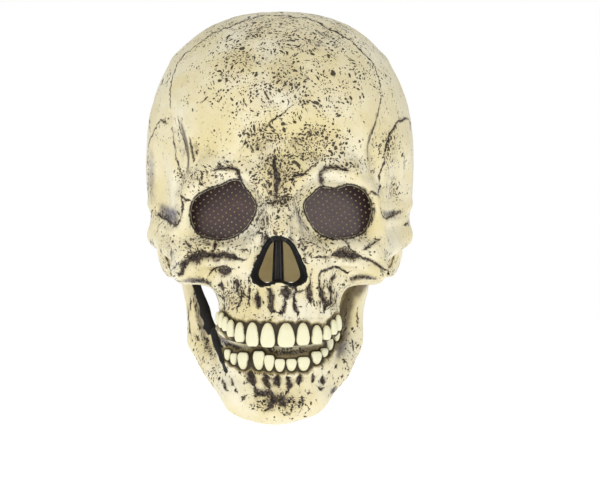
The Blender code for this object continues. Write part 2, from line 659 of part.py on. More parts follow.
def eye_screen(name, rows):
    """Perforated sheet behind an eye opening: flat, turned out to the side, lapped over the rim."""
    hole = spline(rows, 2)
    outline = widened(hole, SCREEN_LAP)
    centre = hole.mean(0)
    places = []
    edge = widened(hole, -0.0004)
    for line in range(-12, 13):
        for step in range(-12, 13):
            x = centre[0] + (step + 0.5 * (line % 2)) * SCREEN_PITCH
            z = centre[1] + line * SCREEN_PITCH * 0.866
            if inside(edge, x, z, SCREEN_HOLE_RADIUS):
                places.append((x, z))
    points = [tuple(point) for point in outline]
    edges = [(index, (index + 1) % len(outline)) for index in range(len(outline))]
    for x, z in places:
        first = len(points)
        for side in range(SCREEN_HOLE_SIDES):
            angle = 2 * math.pi * side / SCREEN_HOLE_SIDES + math.pi / 2
            points.append((x + SCREEN_HOLE_RADIUS * math.cos(angle), z + SCREEN_HOLE_RADIUS * math.sin(angle)))
            edges.append((first + side, first + (side + 1) % SCREEN_HOLE_SIDES))
    flat, _, triangles, _, _, _ = delaunay_2d_cdt([Vector(point) for point in points], edges, [], 1, 1e-7)
    flat = np.array([tuple(point) for point in flat])
    kept = []
    for triangle in triangles:
        middle = flat[list(triangle)].mean(0)
        near = min(math.hypot(middle[0] - x, middle[1] - z) for x, z in places)
        if near > SCREEN_HOLE_RADIUS * 0.75:
            kept.append(tuple(triangle))
    front = [(x, eye_plane(x, z) + PIECE_GAP * 1.1, z) for x, z in flat]
    back = [(x, y + SCREEN_THICKNESS, z) for x, y, z in front]
    count = len(front)
    faces = list(kept) + [tuple(index + count for index in triangle[::-1]) for triangle in kept]
    sides = {}
    for triangle in kept:
        for index in range(3):
            pair = (triangle[index], triangle[(index + 1) % 3])
            sides[pair] = True
    for first, second in list(sides):
        if (second, first) not in sides:
            faces.append((second, first, first + count, second + count))
    return tidy(outward(new_object(name, front + back, faces)), 0.00001)


def inside(outline, x, z, margin):
    """Whether a point lies within an outline and at least a margin away from its corners and sides."""
    ahead = np.roll(outline, -1, 0)
    crossing = (outline[:, 1] > z) != (ahead[:, 1] > z)
    rise = np.where(ahead[:, 1] == outline[:, 1], 1e-12, ahead[:, 1] - outline[:, 1])
    level = outline[:, 0] + (z - outline[:, 1]) * (ahead[:, 0] - outline[:, 0]) / rise
    odd = (crossing & (x < level)).sum() % 2 == 1
    along = ahead - outline
    share = ((x - outline[:, 0]) * along[:, 0] + (z - outline[:, 1]) * along[:, 1]) / (along**2).sum(1)
    share = np.clip(share, 0, 1)
    gap = np.hypot(x - outline[:, 0] - share * along[:, 0], z - outline[:, 1] - share * along[:, 1])
    return odd and gap.min() > margin


def depth_list(outline, rule):
    """Depth of each point of an outline by a rule of x and z."""
    return np.array([rule(x, z) for x, z in outline])


def clear_scene():
    """Start from an empty scene."""
    for existing in list(bpy.data.objects):
        bpy.data.objects.remove(existing)


clear_scene()
skull = skull_casting()
jaw = jaw_casting()
screens = [eye_screen("eye_screen_left", EYE_LEFT), eye_screen("eye_screen_right", EYE_RIGHT)]
skull.data.materials.append(material("bone_latex", (0.74, 0.69, 0.46), 0.62))
jaw.data.materials.append(material("bone_latex_jaw", (0.72, 0.68, 0.47), 0.62))
for screen in screens:
    screen.data.materials.append(material(screen.name + "_plastic", (0.07, 0.05, 0.05), 0.35))
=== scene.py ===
# %% [markdown]
# # Skull mask in painted latex
#
# A full-head skull mask for carnival and theatre. Its two latex castings, the skull with the upper teeth
# and the loose lower jaw, come out of plaster moulds, are sprayed cream, and get a dark wash that stays
# in every crack and pit. Perforated plastic screens close the eyes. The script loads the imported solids
# as a fixed frame, and builds each visible piece over its own solid.

# %% Load the frame
import math
from collections import namedtuple

import bpy
import numpy as np
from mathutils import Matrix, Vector
from mathutils.geometry import delaunay_2d_cdt


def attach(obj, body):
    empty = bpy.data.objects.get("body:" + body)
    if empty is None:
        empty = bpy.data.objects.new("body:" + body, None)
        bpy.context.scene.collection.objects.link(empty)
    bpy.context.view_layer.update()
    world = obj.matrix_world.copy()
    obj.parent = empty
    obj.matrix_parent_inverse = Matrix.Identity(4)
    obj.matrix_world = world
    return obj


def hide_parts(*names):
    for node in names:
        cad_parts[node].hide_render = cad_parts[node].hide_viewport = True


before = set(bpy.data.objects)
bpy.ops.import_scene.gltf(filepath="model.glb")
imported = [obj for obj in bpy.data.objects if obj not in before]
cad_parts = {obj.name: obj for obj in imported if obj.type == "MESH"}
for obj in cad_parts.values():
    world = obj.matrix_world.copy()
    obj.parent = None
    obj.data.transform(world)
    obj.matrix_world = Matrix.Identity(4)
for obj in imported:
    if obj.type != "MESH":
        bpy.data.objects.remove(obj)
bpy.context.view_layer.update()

# %% [markdown]
# ## Bones as distance rules
#
# A sculptor builds a skull from lumps of clay: a ball for the cranium, rolls for the brows and arches.
# The same can be said in numbers: each lump is an ellipsoid or a rod with a rule for the distance to it,
# and smooth minimums blend them. Polygon modelling would also work, but a rule can be read at any
# resolution, so that the solids and this finer skin share one shape.

# %% Tables of the skull's bones
Lump = namedtuple("Lump", "name paired centre radii blend")
Bar = namedtuple("Bar", "name paired start end start_radius end_radius blend")

MM = 0.001
WALL = 1.8 * MM
OUTSIDE_SKULL = 190 * MM
OUTSIDE_JAW = 120 * MM
FACE_BACK = -30 * MM
TEETH_BACK = -45 * MM
NOSE_BACK = -60 * MM
LIP_BACK = -75 * MM
NECK_RIM_FROM = -40 * MM
NO_LINE = 9 * MM
GUM_WIDTH = 1.9 * MM
CRANIUM_CENTRE = (0.0, 0.008, -0.105)
CRANIUM_RADII = (0.0955, 0.112, 0.1075)
CRANIUM_ROUNDNESS = 2.35

SKULL_BONES = (
    Lump("face core", False, (0, -0.048, -0.150), (0.062, 0.050, 0.075), 0.012),
    Lump("neck filler", False, (0, -0.005, -0.200), (0.055, 0.062, 0.090), 0.010),
    Lump("forehead", False, (0, -0.052, -0.085), (0.062, 0.053, 0.060), 0.020),
    Lump("glabella", False, (0, -0.097, -0.122), (0.019, 0.014, 0.018), 0.012),
    Bar("brow", True, (0.016, -0.1035, -0.1185), (0.046, -0.0955, -0.1140), 0.0075, 0.0075, 0.010),
    Bar("brow side", True, (0.046, -0.0955, -0.1140), (0.063, -0.0800, -0.1320), 0.0075, 0.006, 0.008),
    Bar("orbit outer bar", True, (0.0640, -0.0785, -0.132), (0.0665, -0.0720, -0.163), 0.0058, 0.0085, 0.007),
    Bar("orbit lower rim", True, (0.061, -0.0800, -0.1685), (0.026, -0.0960, -0.1690), 0.0085, 0.0065, 0.007),
    Bar("nose bridge", False, (0, -0.100, -0.126), (0, -0.1115, -0.1545), 0.0095, 0.0075, 0.009),
    Bar("nose flank", True, (0.011, -0.100, -0.136), (0.0235, -0.0985, -0.182), 0.0075, 0.009, 0.009),
    Lump("cheekbone", True, (0.057, -0.0730, -0.1790), (0.018, 0.0155, 0.0125), 0.007),
    Bar("cheek corner", True, (0.0600, -0.0740, -0.1780), (0.0640, -0.0680, -0.1860), 0.009, 0.0060, 0.006),
    Bar("cheek shelf", True, (0.060, -0.0700, -0.1865), (0.036, -0.0880, -0.1865), 0.0055, 0.0065, 0.008),
    Bar("cheek arch", True, (0.068, -0.0600, -0.1680), (0.0845, -0.0200, -0.1570), 0.0095, 0.0080, 0.008),
    Bar("arch root", True, (0.0835, -0.020, -0.1560), (0.0865, 0.010, -0.1500), 0.0072, 0.0055, 0.008),
    Lump("mastoid", True, (0.0785, 0.020, -0.166), (0.0095, 0.016, 0.021), 0.008),
    Lump("maxilla", False, (0, -0.0720, -0.205), (0.0440, 0.0400, 0.050), 0.010),
    Lump("upper gum", False, (0, -0.0770, -0.2220), (0.0435, 0.0380, 0.028), 0.008),
)
SKULL_HOLLOWS = (
    Lump("temple hollow", True, (0.0970, -0.0560, -0.1290), (0.0200, 0.0260, 0.0330), 0.012),
    Lump("orbit", True, (0.0375, -0.1080, -0.1405), (0.0265, 0.0210, 0.0240), 0.006),
    Lump("under cheek", True, (0.0620, -0.0820, -0.2080), (0.0200, 0.0360, 0.0180), 0.006),
)

# %% Tables of the jaw's bones
JAW_SHIFT = -3.0 * MM
JAW_CENTRE = (-0.0030, -0.012, -0.222)
JAW_BONES = (
    Lump("jaw core", False, (0, -0.056, -0.240), (0.037, 0.041, 0.033), 0.010),
    Bar("chin", True, (0.0224, -0.0860, -0.2665), (0.0060, -0.0925, -0.2720), 0.0135, 0.0140, 0.010),
    Bar("jaw body", True, (0.0402, -0.0620, -0.2475), (0.0224, -0.0860, -0.2665), 0.0122, 0.0135, 0.006),
    Bar("jaw angle", True, (0.0515, -0.0460, -0.2300), (0.0402, -0.0620, -0.2475), 0.0100, 0.0122, 0.006),
    Bar("ramus", True, (0.0520, -0.0460, -0.2300), (0.0540, -0.0460, -0.1950), 0.0100, 0.0095, 0.006),
    Bar("ramus head", True, (0.0540, -0.0460, -0.1950), (0.0640, -0.0430, -0.1500), 0.0095, 0.0140, 0.006),
    Bar("ramus back", True, (0.0490, -0.0290, -0.2260), (0.0530, -0.0270, -0.1950), 0.0100, 0.0100, 0.008),
    Bar("head back", True, (0.0530, -0.0270, -0.1950), (0.0640, -0.0240, -0.1500), 0.0100, 0.0140, 0.008),
    Bar("ramus root", True, (0.0400, -0.0560, -0.2360), (0.0530, -0.0500, -0.2000), 0.0065, 0.0065, 0.005),
    Lump("lower gum", False, (0.003, -0.0740, -0.2440), (0.0385, 0.0370, 0.0160), 0.008),
    Lump("gum flange", False, (0.001, -0.0740, -0.2245), (0.0425, 0.0410, 0.0125), 0.004),
    Bar("gum horn", True, (0.0320, -0.0860, -0.2380), (0.0375, -0.0740, -0.2240), 0.0070, 0.0060, 0.006),
    Bar("trench floor", True, (0.0330, -0.0480, -0.2330), (0.0320, -0.0760, -0.2330), 0.0075, 0.0075, 0.006),
)
JAW_HOLLOWS = (
    Bar("trench", True, (0.0480, -0.0720, -0.1900), (0.0425, -0.0840, -0.2250), 0.0070, 0.0055, 0.004),
    Bar("trench foot", True, (0.0425, -0.0840, -0.2250), (0.0345, -0.0970, -0.2500), 0.0055, 0.0015, 0.004),
)


# %% Small rules used all through
def bell(share):
    """Bell curve: e to minus the square, which is one at nought."""
    return np.exp(-(share**2))


def ease(share):
    """Smooth step from 0 to 1: three squares less two cubes."""
    return share * share * (3 - 2 * share)


def unit(vectors, least=1e-9):
    """Vectors over their length, or over the least length where they are shorter."""
    return vectors / np.maximum(np.linalg.norm(vectors, axis=-1, keepdims=True), least)


def along_skin(vectors, normals):
    """Vectors less the part of them that points along the normals."""
    return vectors - normals * (vectors * normals).sum(-1, keepdims=True)


def cubic(before, here, after, later, share):
    """Curve from here to after: a cubic whose slope at a knot is half the way between its neighbours."""
    return 0.5 * (2 * here + (after - before) * share
                  + (2 * before - 5 * here + 4 * after - later) * share**2
                  + (3 * here - before - 3 * after + later) * share**3)


# %% Distance rules
def smooth_union(first, second, blend):
    """The lower of two distances, less a quarter of the blend times the squared overlap share."""
    overlap = np.maximum(blend - np.abs(first - second), 0) / blend
    return np.minimum(first, second) - overlap * overlap * blend / 4


def row_distance(points, row):
    """Ellipsoid: scaled length times itself less one, over the scaled gradient. Rod: distance to the
    nearest point of its line less the radius there. A paired row reads the size of x alone."""
    if row.paired:
        points = np.concatenate([np.abs(points[..., :1]), points[..., 1:]], -1)
    if isinstance(row, Lump):
        offset = points - np.asarray(row.centre)
        radii = np.asarray(row.radii)
        scaled = np.sqrt(((offset / radii) ** 2).sum(-1))
        gradient = np.sqrt(((offset / radii**2) ** 2).sum(-1))
        return scaled * (scaled - 1) / np.maximum(gradient, 1e-9)
    start = np.asarray(row.start)
    along = np.asarray(row.end) - start
    share = np.clip(((points - start) @ along) / (along @ along), 0, 1)
    length = np.sqrt(((points - start - share[..., None] * along) ** 2).sum(-1))
    return length - (row.start_radius + (row.end_radius - row.start_radius) * share)


def cranium_distance(points):
    """Rounded box: the scaled sides to the power of its roundness, summed, over the gradient."""
    scaled = np.abs(points - np.asarray(CRANIUM_CENTRE)) / np.asarray(CRANIUM_RADII)
    total = np.maximum((scaled**CRANIUM_ROUNDNESS).sum(-1), 1e-9)
    slope = scaled ** (CRANIUM_ROUNDNESS - 1) / np.asarray(CRANIUM_RADII)
    gradient = total ** (1 / CRANIUM_ROUNDNESS - 1) * np.sqrt((slope**2).sum(-1))
    return (total ** (1 / CRANIUM_ROUNDNESS) - 1) / np.maximum(gradient, 1e-9)


def blend_distance(points, distance, bones, hollows):
    """Bones are joined one after the other, then each hollow is taken away the same smooth way."""
    for row in bones:
        found = row_distance(points, row)
        distance = found if distance is None else smooth_union(distance, found, row.blend)
    for row in hollows:
        distance = -smooth_union(-distance, row_distance(points, row), row.blend)
    return distance


def skull_distance(points):
    """Distance to the outer skin of the skull casting."""
    return blend_distance(points, cranium_distance(points), SKULL_BONES, SKULL_HOLLOWS)


def jaw_distance(points):
    """Distance to the outer skin of the jaw casting."""
    return blend_distance(points - np.array((JAW_SHIFT, 0, 0)), None, JAW_BONES, JAW_HOLLOWS)


# %% [markdown]
# ## Skins by walking in along rays
#
# A ray from the middle of the head crosses the skin once. Walking in from outside by a share of the
# distance itself finds that crossing, for all rays of a grid at once. A cube mapped on the rule, or
# marching cubes, would give even cells, but a grid of rays can be made fine at the face and coarse at
# the back, and its rows and columns stay in order.

# %% Ray grid helpers
def meet(distance, origins, directions, level, reach):
    """Each of 60 rounds takes 0.8 of the distance left off the reach of the rays that aren't there yet."""
    origins = np.broadcast_to(origins, directions.shape).reshape(-1, 3)
    shape = directions.shape[:-1]
    flat = directions.reshape(-1, 3)
    reach = np.array(np.broadcast_to(reach, shape), float).reshape(-1)
    open_rays = np.arange(len(reach))
    for _ in range(60):
        left = distance(origins[open_rays] + flat[open_rays] * reach[open_rays, None]) - level
        reach[open_rays] = np.maximum(reach[open_rays] - 0.8 * left, 0.004)
        open_rays = open_rays[(np.abs(left) > 0.00001) & (reach[open_rays] > 0.00401)]
        if len(open_rays) == 0:
            break
    return reach.reshape(shape)


def directions_of(turn, lift):
    """Unit vectors: the flat part is the cosine of the lift, turned from the face about Z."""
    turn, lift = np.broadcast_arrays(turn, lift)
    flat = np.cos(lift)
    return np.stack([flat * np.sin(turn), -flat * np.cos(turn), np.sin(lift)], -1)


def skull_rays(turns, lifts):
    """The origin eases forward and down for lower rows by a smooth step of the lift."""
    lower = np.clip(-lifts / math.radians(60), 0, 1)
    eased = ease(lower)
    origins = np.zeros((len(lifts), len(turns), 3))
    origins[..., 1] = (CRANIUM_CENTRE[1] - 0.046 * eased)[:, None]
    origins[..., 2] = (CRANIUM_CENTRE[2] - 0.022 * eased)[:, None]
    return origins, directions_of(turns[None, :], lifts[:, None])


def slopes(distance, points):
    """Unit normals: differences of the distance over a step of 0.5 mm both ways along each axis."""
    found = np.zeros_like(points)
    for axis in range(3):
        shift = np.zeros(3)
        shift[axis] = 0.0005
        found[..., axis] = distance(points + shift) - distance(points - shift)
    return unit(found, 1e-12)


def quads(rows, columns, closed):
    """Corner numbers of the cells of a grid that is stored row by row."""
    span = columns if closed else columns - 1
    row, column = np.meshgrid(np.arange(rows - 1), np.arange(span), indexing="ij")
    beside = (column + 1) % columns
    cells = [row * columns + column, (row + 1) * columns + column,
             (row + 1) * columns + beside, row * columns + beside]
    return np.stack(cells, -1).reshape(-1, 4)


def halves(cells):
    """Two triangles for each cell."""
    return np.concatenate([cells[:, [0, 1, 2]], cells[:, [0, 2, 3]]])


def spread(count, dense_from, dense_to, share, low, high):
    """Values from low to high, with the given share of them evenly inside the dense part."""
    knots = (low, dense_from, dense_to, high)
    outside = (dense_from - low) + (high - dense_to)
    before = (1 - share) * (dense_from - low) / max(outside, 1e-9)
    return np.interp(np.linspace(0, 1, count), (0, before, before + share, 1), knots)


# %% [markdown]
# ## Casting noise
#
# Hand work leaves soft waves. A lattice of random numbers, blended smoothly between its nodes, gives
# waves of one chosen size in millimetres, and it is the same each run because a formula makes it.

# %% Value noise for shapes
def waves(points, size, seed):
    """Smooth noise from -1 to 1: the eight lattice numbers round a point, mixed by smooth steps."""
    scaled = points / size + seed * 7.31
    base = np.floor(scaled)
    part = ease(scaled - base)
    total = np.zeros(points.shape[:-1])
    for corner in range(8):
        bit = np.array((corner & 1, corner >> 1 & 1, corner >> 2 & 1))
        node = base + bit
        number = np.sin(node @ np.array((127.1, 311.7, 74.7)) + seed) * 43758.5453
        number = number - np.floor(number)
        weight = np.prod(np.where(bit == 1, part, 1 - part), -1)
        total += weight * number
    return total * 2 - 1


# %% [markdown]
# ## Openings
#
# The eye and nose openings are smooth closed curves through a few knots, seen from the front, and the
# lower rim of the casting is a line seen from the side. The skin is cut exactly at these lines: each
# triangle that crosses one is split there, as scissors would. Deleting whole faces would leave steps.

# %% Outlines of the openings
Outline = namedtuple("Outline", "name x z")
Rim = namedtuple("Rim", "name y z")

EYE_LEFT = (
    Outline("outer top", -0.0568, -0.1318),
    Outline("top side", -0.0470, -0.1260),
    Outline("under the brow", -0.0385, -0.1232),
    Outline("notch side", -0.0322, -0.1203),
    Outline("notch", -0.0268, -0.1203),
    Outline("notch foot", -0.0238, -0.1248),
    Outline("inner top", -0.0192, -0.1305),
    Outline("inner", -0.0160, -0.1375),
    Outline("inner side", -0.0195, -0.1470),
    Outline("inner foot", -0.0260, -0.1545),
    Outline("foot", -0.0370, -0.1590),
    Outline("outer foot", -0.0520, -0.1570),
    Outline("outer side", -0.0585, -0.1500),
    Outline("outer", -0.0600, -0.1405),
)
EYE_RIGHT = (
    Outline("inner", 0.0175, -0.1375),
    Outline("inner top", 0.0228, -0.1298),
    Outline("top inner", 0.0290, -0.1248),
    Outline("top middle", 0.0385, -0.1256),
    Outline("top side", 0.0480, -0.1232),
    Outline("outer top", 0.0575, -0.1272),
    Outline("outer side", 0.0620, -0.1350),
    Outline("outer", 0.0625, -0.1430),
    Outline("outer foot", 0.0580, -0.1535),
    Outline("foot", 0.0480, -0.1580),
    Outline("foot middle", 0.0350, -0.1582),
    Outline("inner foot", 0.0250, -0.1525),
)
NOSE = (
    Outline("top", 0.0000, -0.1585),
    Outline("right shoulder", 0.0085, -0.1625),
    Outline("right side", 0.0150, -0.1745),
    Outline("right foot", 0.0182, -0.1855),
    Outline("right sill", 0.0110, -0.1905),
    Outline("middle sill", -0.0002, -0.1878),
    Outline("left sill", -0.0110, -0.1905),
    Outline("left foot", -0.0176, -0.1850),
    Outline("left side", -0.0140, -0.1745),
    Outline("left shoulder", -0.0075, -0.1620),
)
SKULL_RIM = (
    Rim("nape", 0.150, -0.196),
    Rim("behind the ear", 0.046, -0.190),
    Rim("mastoid back", 0.034, -0.190),
    Rim("mastoid tip", 0.022, -0.1895),
    Rim("mastoid front", 0.009, -0.184),
    Rim("ear notch", 0.002, -0.1675),
    Rim("arch root", -0.012, -0.1645),
    Rim("arch middle", -0.034, -0.1690),
    Rim("cheek back", -0.0520, -0.1790),
    Rim("cheek foot", -0.0610, -0.1925),
    Rim("side gap top", -0.0700, -0.1960),
    Rim("gum back", -0.0770, -0.2060),
    Rim("gum corner", -0.0790, -0.2190),
    Rim("canine lip", -0.0960, -0.2275),
    Rim("side lip", -0.1080, -0.2315),
    Rim("middle lip", -0.1300, -0.2350),
)


def spline(rows, steps):
    """Closed smooth curve through the knots."""
    knots = np.array([(row.x, row.z) for row in rows])
    before, after, later = (np.roll(knots, -step, 0) for step in (-1, 1, 2))
    share = (np.arange(steps) / steps)[None, :, None]
    knots, before, after, later = (value[:, None, :] for value in (knots, before, after, later))
    return cubic(before, knots, after, later, share).reshape(-1, 2)


def outline_distance(outline, flat):
    """Distance to the nearest side of a closed outline, negative inside by counting crossings.
    Points more than 12 mm outside its box are given 12 mm."""
    found = np.full(len(flat), 0.012)
    low = outline.min(0) - 0.012
    high = outline.max(0) + 0.012
    close = np.nonzero(((flat > low) & (flat < high)).all(1))[0]
    spot = flat[close][:, None, :]
    ahead = np.roll(outline, -1, 0)
    along = ahead - outline
    share = np.clip(((spot - outline) * along).sum(-1) / (along**2).sum(-1), 0, 1)
    gap = np.linalg.norm(spot - outline - share[..., None] * along, axis=-1).min(1)
    crossing = (outline[:, 1] > spot[..., 1]) != (ahead[:, 1] > spot[..., 1])
    rise = np.where(along[:, 1] == 0, 1e-12, along[:, 1])
    level = outline[:, 0] + (spot[..., 1] - outline[:, 1]) * along[:, 0] / rise
    odd = (crossing & (spot[..., 0] < level)).sum(1) % 2 == 1
    found[close] = np.where(odd, -gap, gap)
    return found


def rim_height(y):
    """Height of the skull casting's lower rim at a depth, straight between the knots."""
    order = sorted(SKULL_RIM, key=lambda row: row.y)
    return np.interp(y, [row.y for row in order], [row.z for row in order])


# %% Cut a skin at a line
class Skin:
    """Triangles with one row of numbers for each point: place, normal and the painter's values."""

    def __init__(self, columns, triangles):
        self.names = list(columns)
        self.values = np.concatenate([np.asarray(columns[name]).reshape(len(columns["place"]), -1)
                                      for name in self.names], 1)
        widths = [np.asarray(columns[name]).reshape(len(columns["place"]), -1).shape[1]
                  for name in self.names]
        self.starts = np.concatenate([[0], np.cumsum(widths)])
        self.triangles = triangles

    def get(self, name):
        """All points' values of one name."""
        index = self.names.index(name)
        found = self.values[:, self.starts[index]:self.starts[index + 1]]
        return found[:, 0] if found.shape[1] == 1 else found

    def cut(self, level):
        """Keeps where the level is positive. An edge that crosses zero gets one new point, at the
        share at which a straight line between its two levels is zero. Returns the new free edges."""
        level = np.where(np.abs(level) < 1e-7, 1e-7, level)
        keep = level > 0
        held = keep[self.triangles].sum(1)
        parts = [self.triangles[held == 3]]
        mixed = self.triangles[(held == 1) | (held == 2)]
        odd = np.where(keep[mixed].sum(1) == 1, 1, 0)
        first = np.argmax(keep[mixed] == odd[:, None], 1)
        turned = mixed[np.arange(len(mixed))[:, None], (first[:, None] + np.arange(3)) % 3]
        pairs = np.sort(np.concatenate([turned[:, [0, 1]], turned[:, [0, 2]]]), 1)
        unique, number = np.unique(pairs, axis=0, return_inverse=True)
        number = number.reshape(-1) + len(self.values)
        share = level[unique[:, 0]] / (level[unique[:, 0]] - level[unique[:, 1]])
        added = self.values[unique[:, 0]] * (1 - share[:, None]) + self.values[unique[:, 1]] * share[:, None]
        self.values = np.concatenate([self.values, added])
        one, two = number[:len(mixed)], number[len(mixed):]
        single = odd == 1
        parts.append(np.stack([turned[:, 0], one, two], 1)[single])
        parts.append(np.stack([one, turned[:, 1], turned[:, 2]], 1)[~single])
        parts.append(np.stack([one, turned[:, 2], two], 1)[~single])
        self.triangles = np.concatenate(parts)
        return np.concatenate([np.stack([two, one], 1)[single], np.stack([one, two], 1)[~single]])

    def extrude(self, edges, rings, changes):
        """Joins free edges to rings of places for their points; changes gives new values by name."""
        own = np.unique(edges)
        before = own
        for ring, change in zip(rings(self.values[own, :3], own), changes):
            added = self.values[own].copy()
            added[:, :3] = ring
            for name, value in change.items():
                added[:, self.starts[self.names.index(name)]] = value
            after = len(self.values) + np.arange(len(own))
            self.values = np.concatenate([self.values, added])
            one = np.searchsorted(own, edges[:, 0])
            two = np.searchsorted(own, edges[:, 1])
            corners = [before[one], before[two], after[two], after[one]]
            self.triangles = np.concatenate([self.triangles, halves(np.stack(corners, -1))])
            before = after

    def piece(self, name, values):
        """Makes the mesh, with the named values as point attributes, and drops unused points."""
        used, number = np.unique(self.triangles, return_inverse=True)
        triangles = number.reshape(-1, 3)
        made = new_piece(name, self.values[used, :3], triangles)
        for value in values:
            store(made, value, self.get(value)[used])
        return made


def store(piece, name, values):
    """Keeps one number for each point, which a material reads as an attribute."""
    layer = piece.data.attributes.new(name, "FLOAT", "POINT")
    layer.data.foreach_set("value", np.ascontiguousarray(values, np.float32))


def new_piece(name, points, faces, smooth=True):
    """A mesh object at the origin, from arrays of places and of corner numbers."""
    mesh = bpy.data.meshes.new(name)
    mesh.vertices.add(len(points))
    mesh.vertices.foreach_set("co", np.ascontiguousarray(points, np.float32).ravel())
    faces = np.asarray(faces)
    mesh.loops.add(faces.size)
    mesh.loops.foreach_set("vertex_index", faces.ravel().astype(np.int32))
    mesh.polygons.add(len(faces))
    mesh.polygons.foreach_set("loop_start", np.arange(0, faces.size, faces.shape[1], dtype=np.int32))
    mesh.polygons.foreach_set("use_smooth", np.full(len(faces), smooth))
    mesh.update(calc_edges=True)
    mesh.validate()
    made = bpy.data.objects.new(name, mesh)
    bpy.context.scene.collection.objects.link(made)
    print(name, len(points), "points,", len(faces), "faces")
    return made


# %% [markdown]
# ## The sculptor's marks
#
# Cracks, sutures and grooves are charted as lines over the front view and then laid on the skin. Each
# has a half width and a depth in millimetres. A crack that is only painted looks flat from the side, so
# the wide ones also sink into the mesh, and the fine ones become bump in the material.

# %% Chart of the marks
Mark = namedtuple("Mark", "name half depth points")
Stain = namedtuple("Stain", "name x z across up strength")
Form = namedtuple("Form", "name half height points")

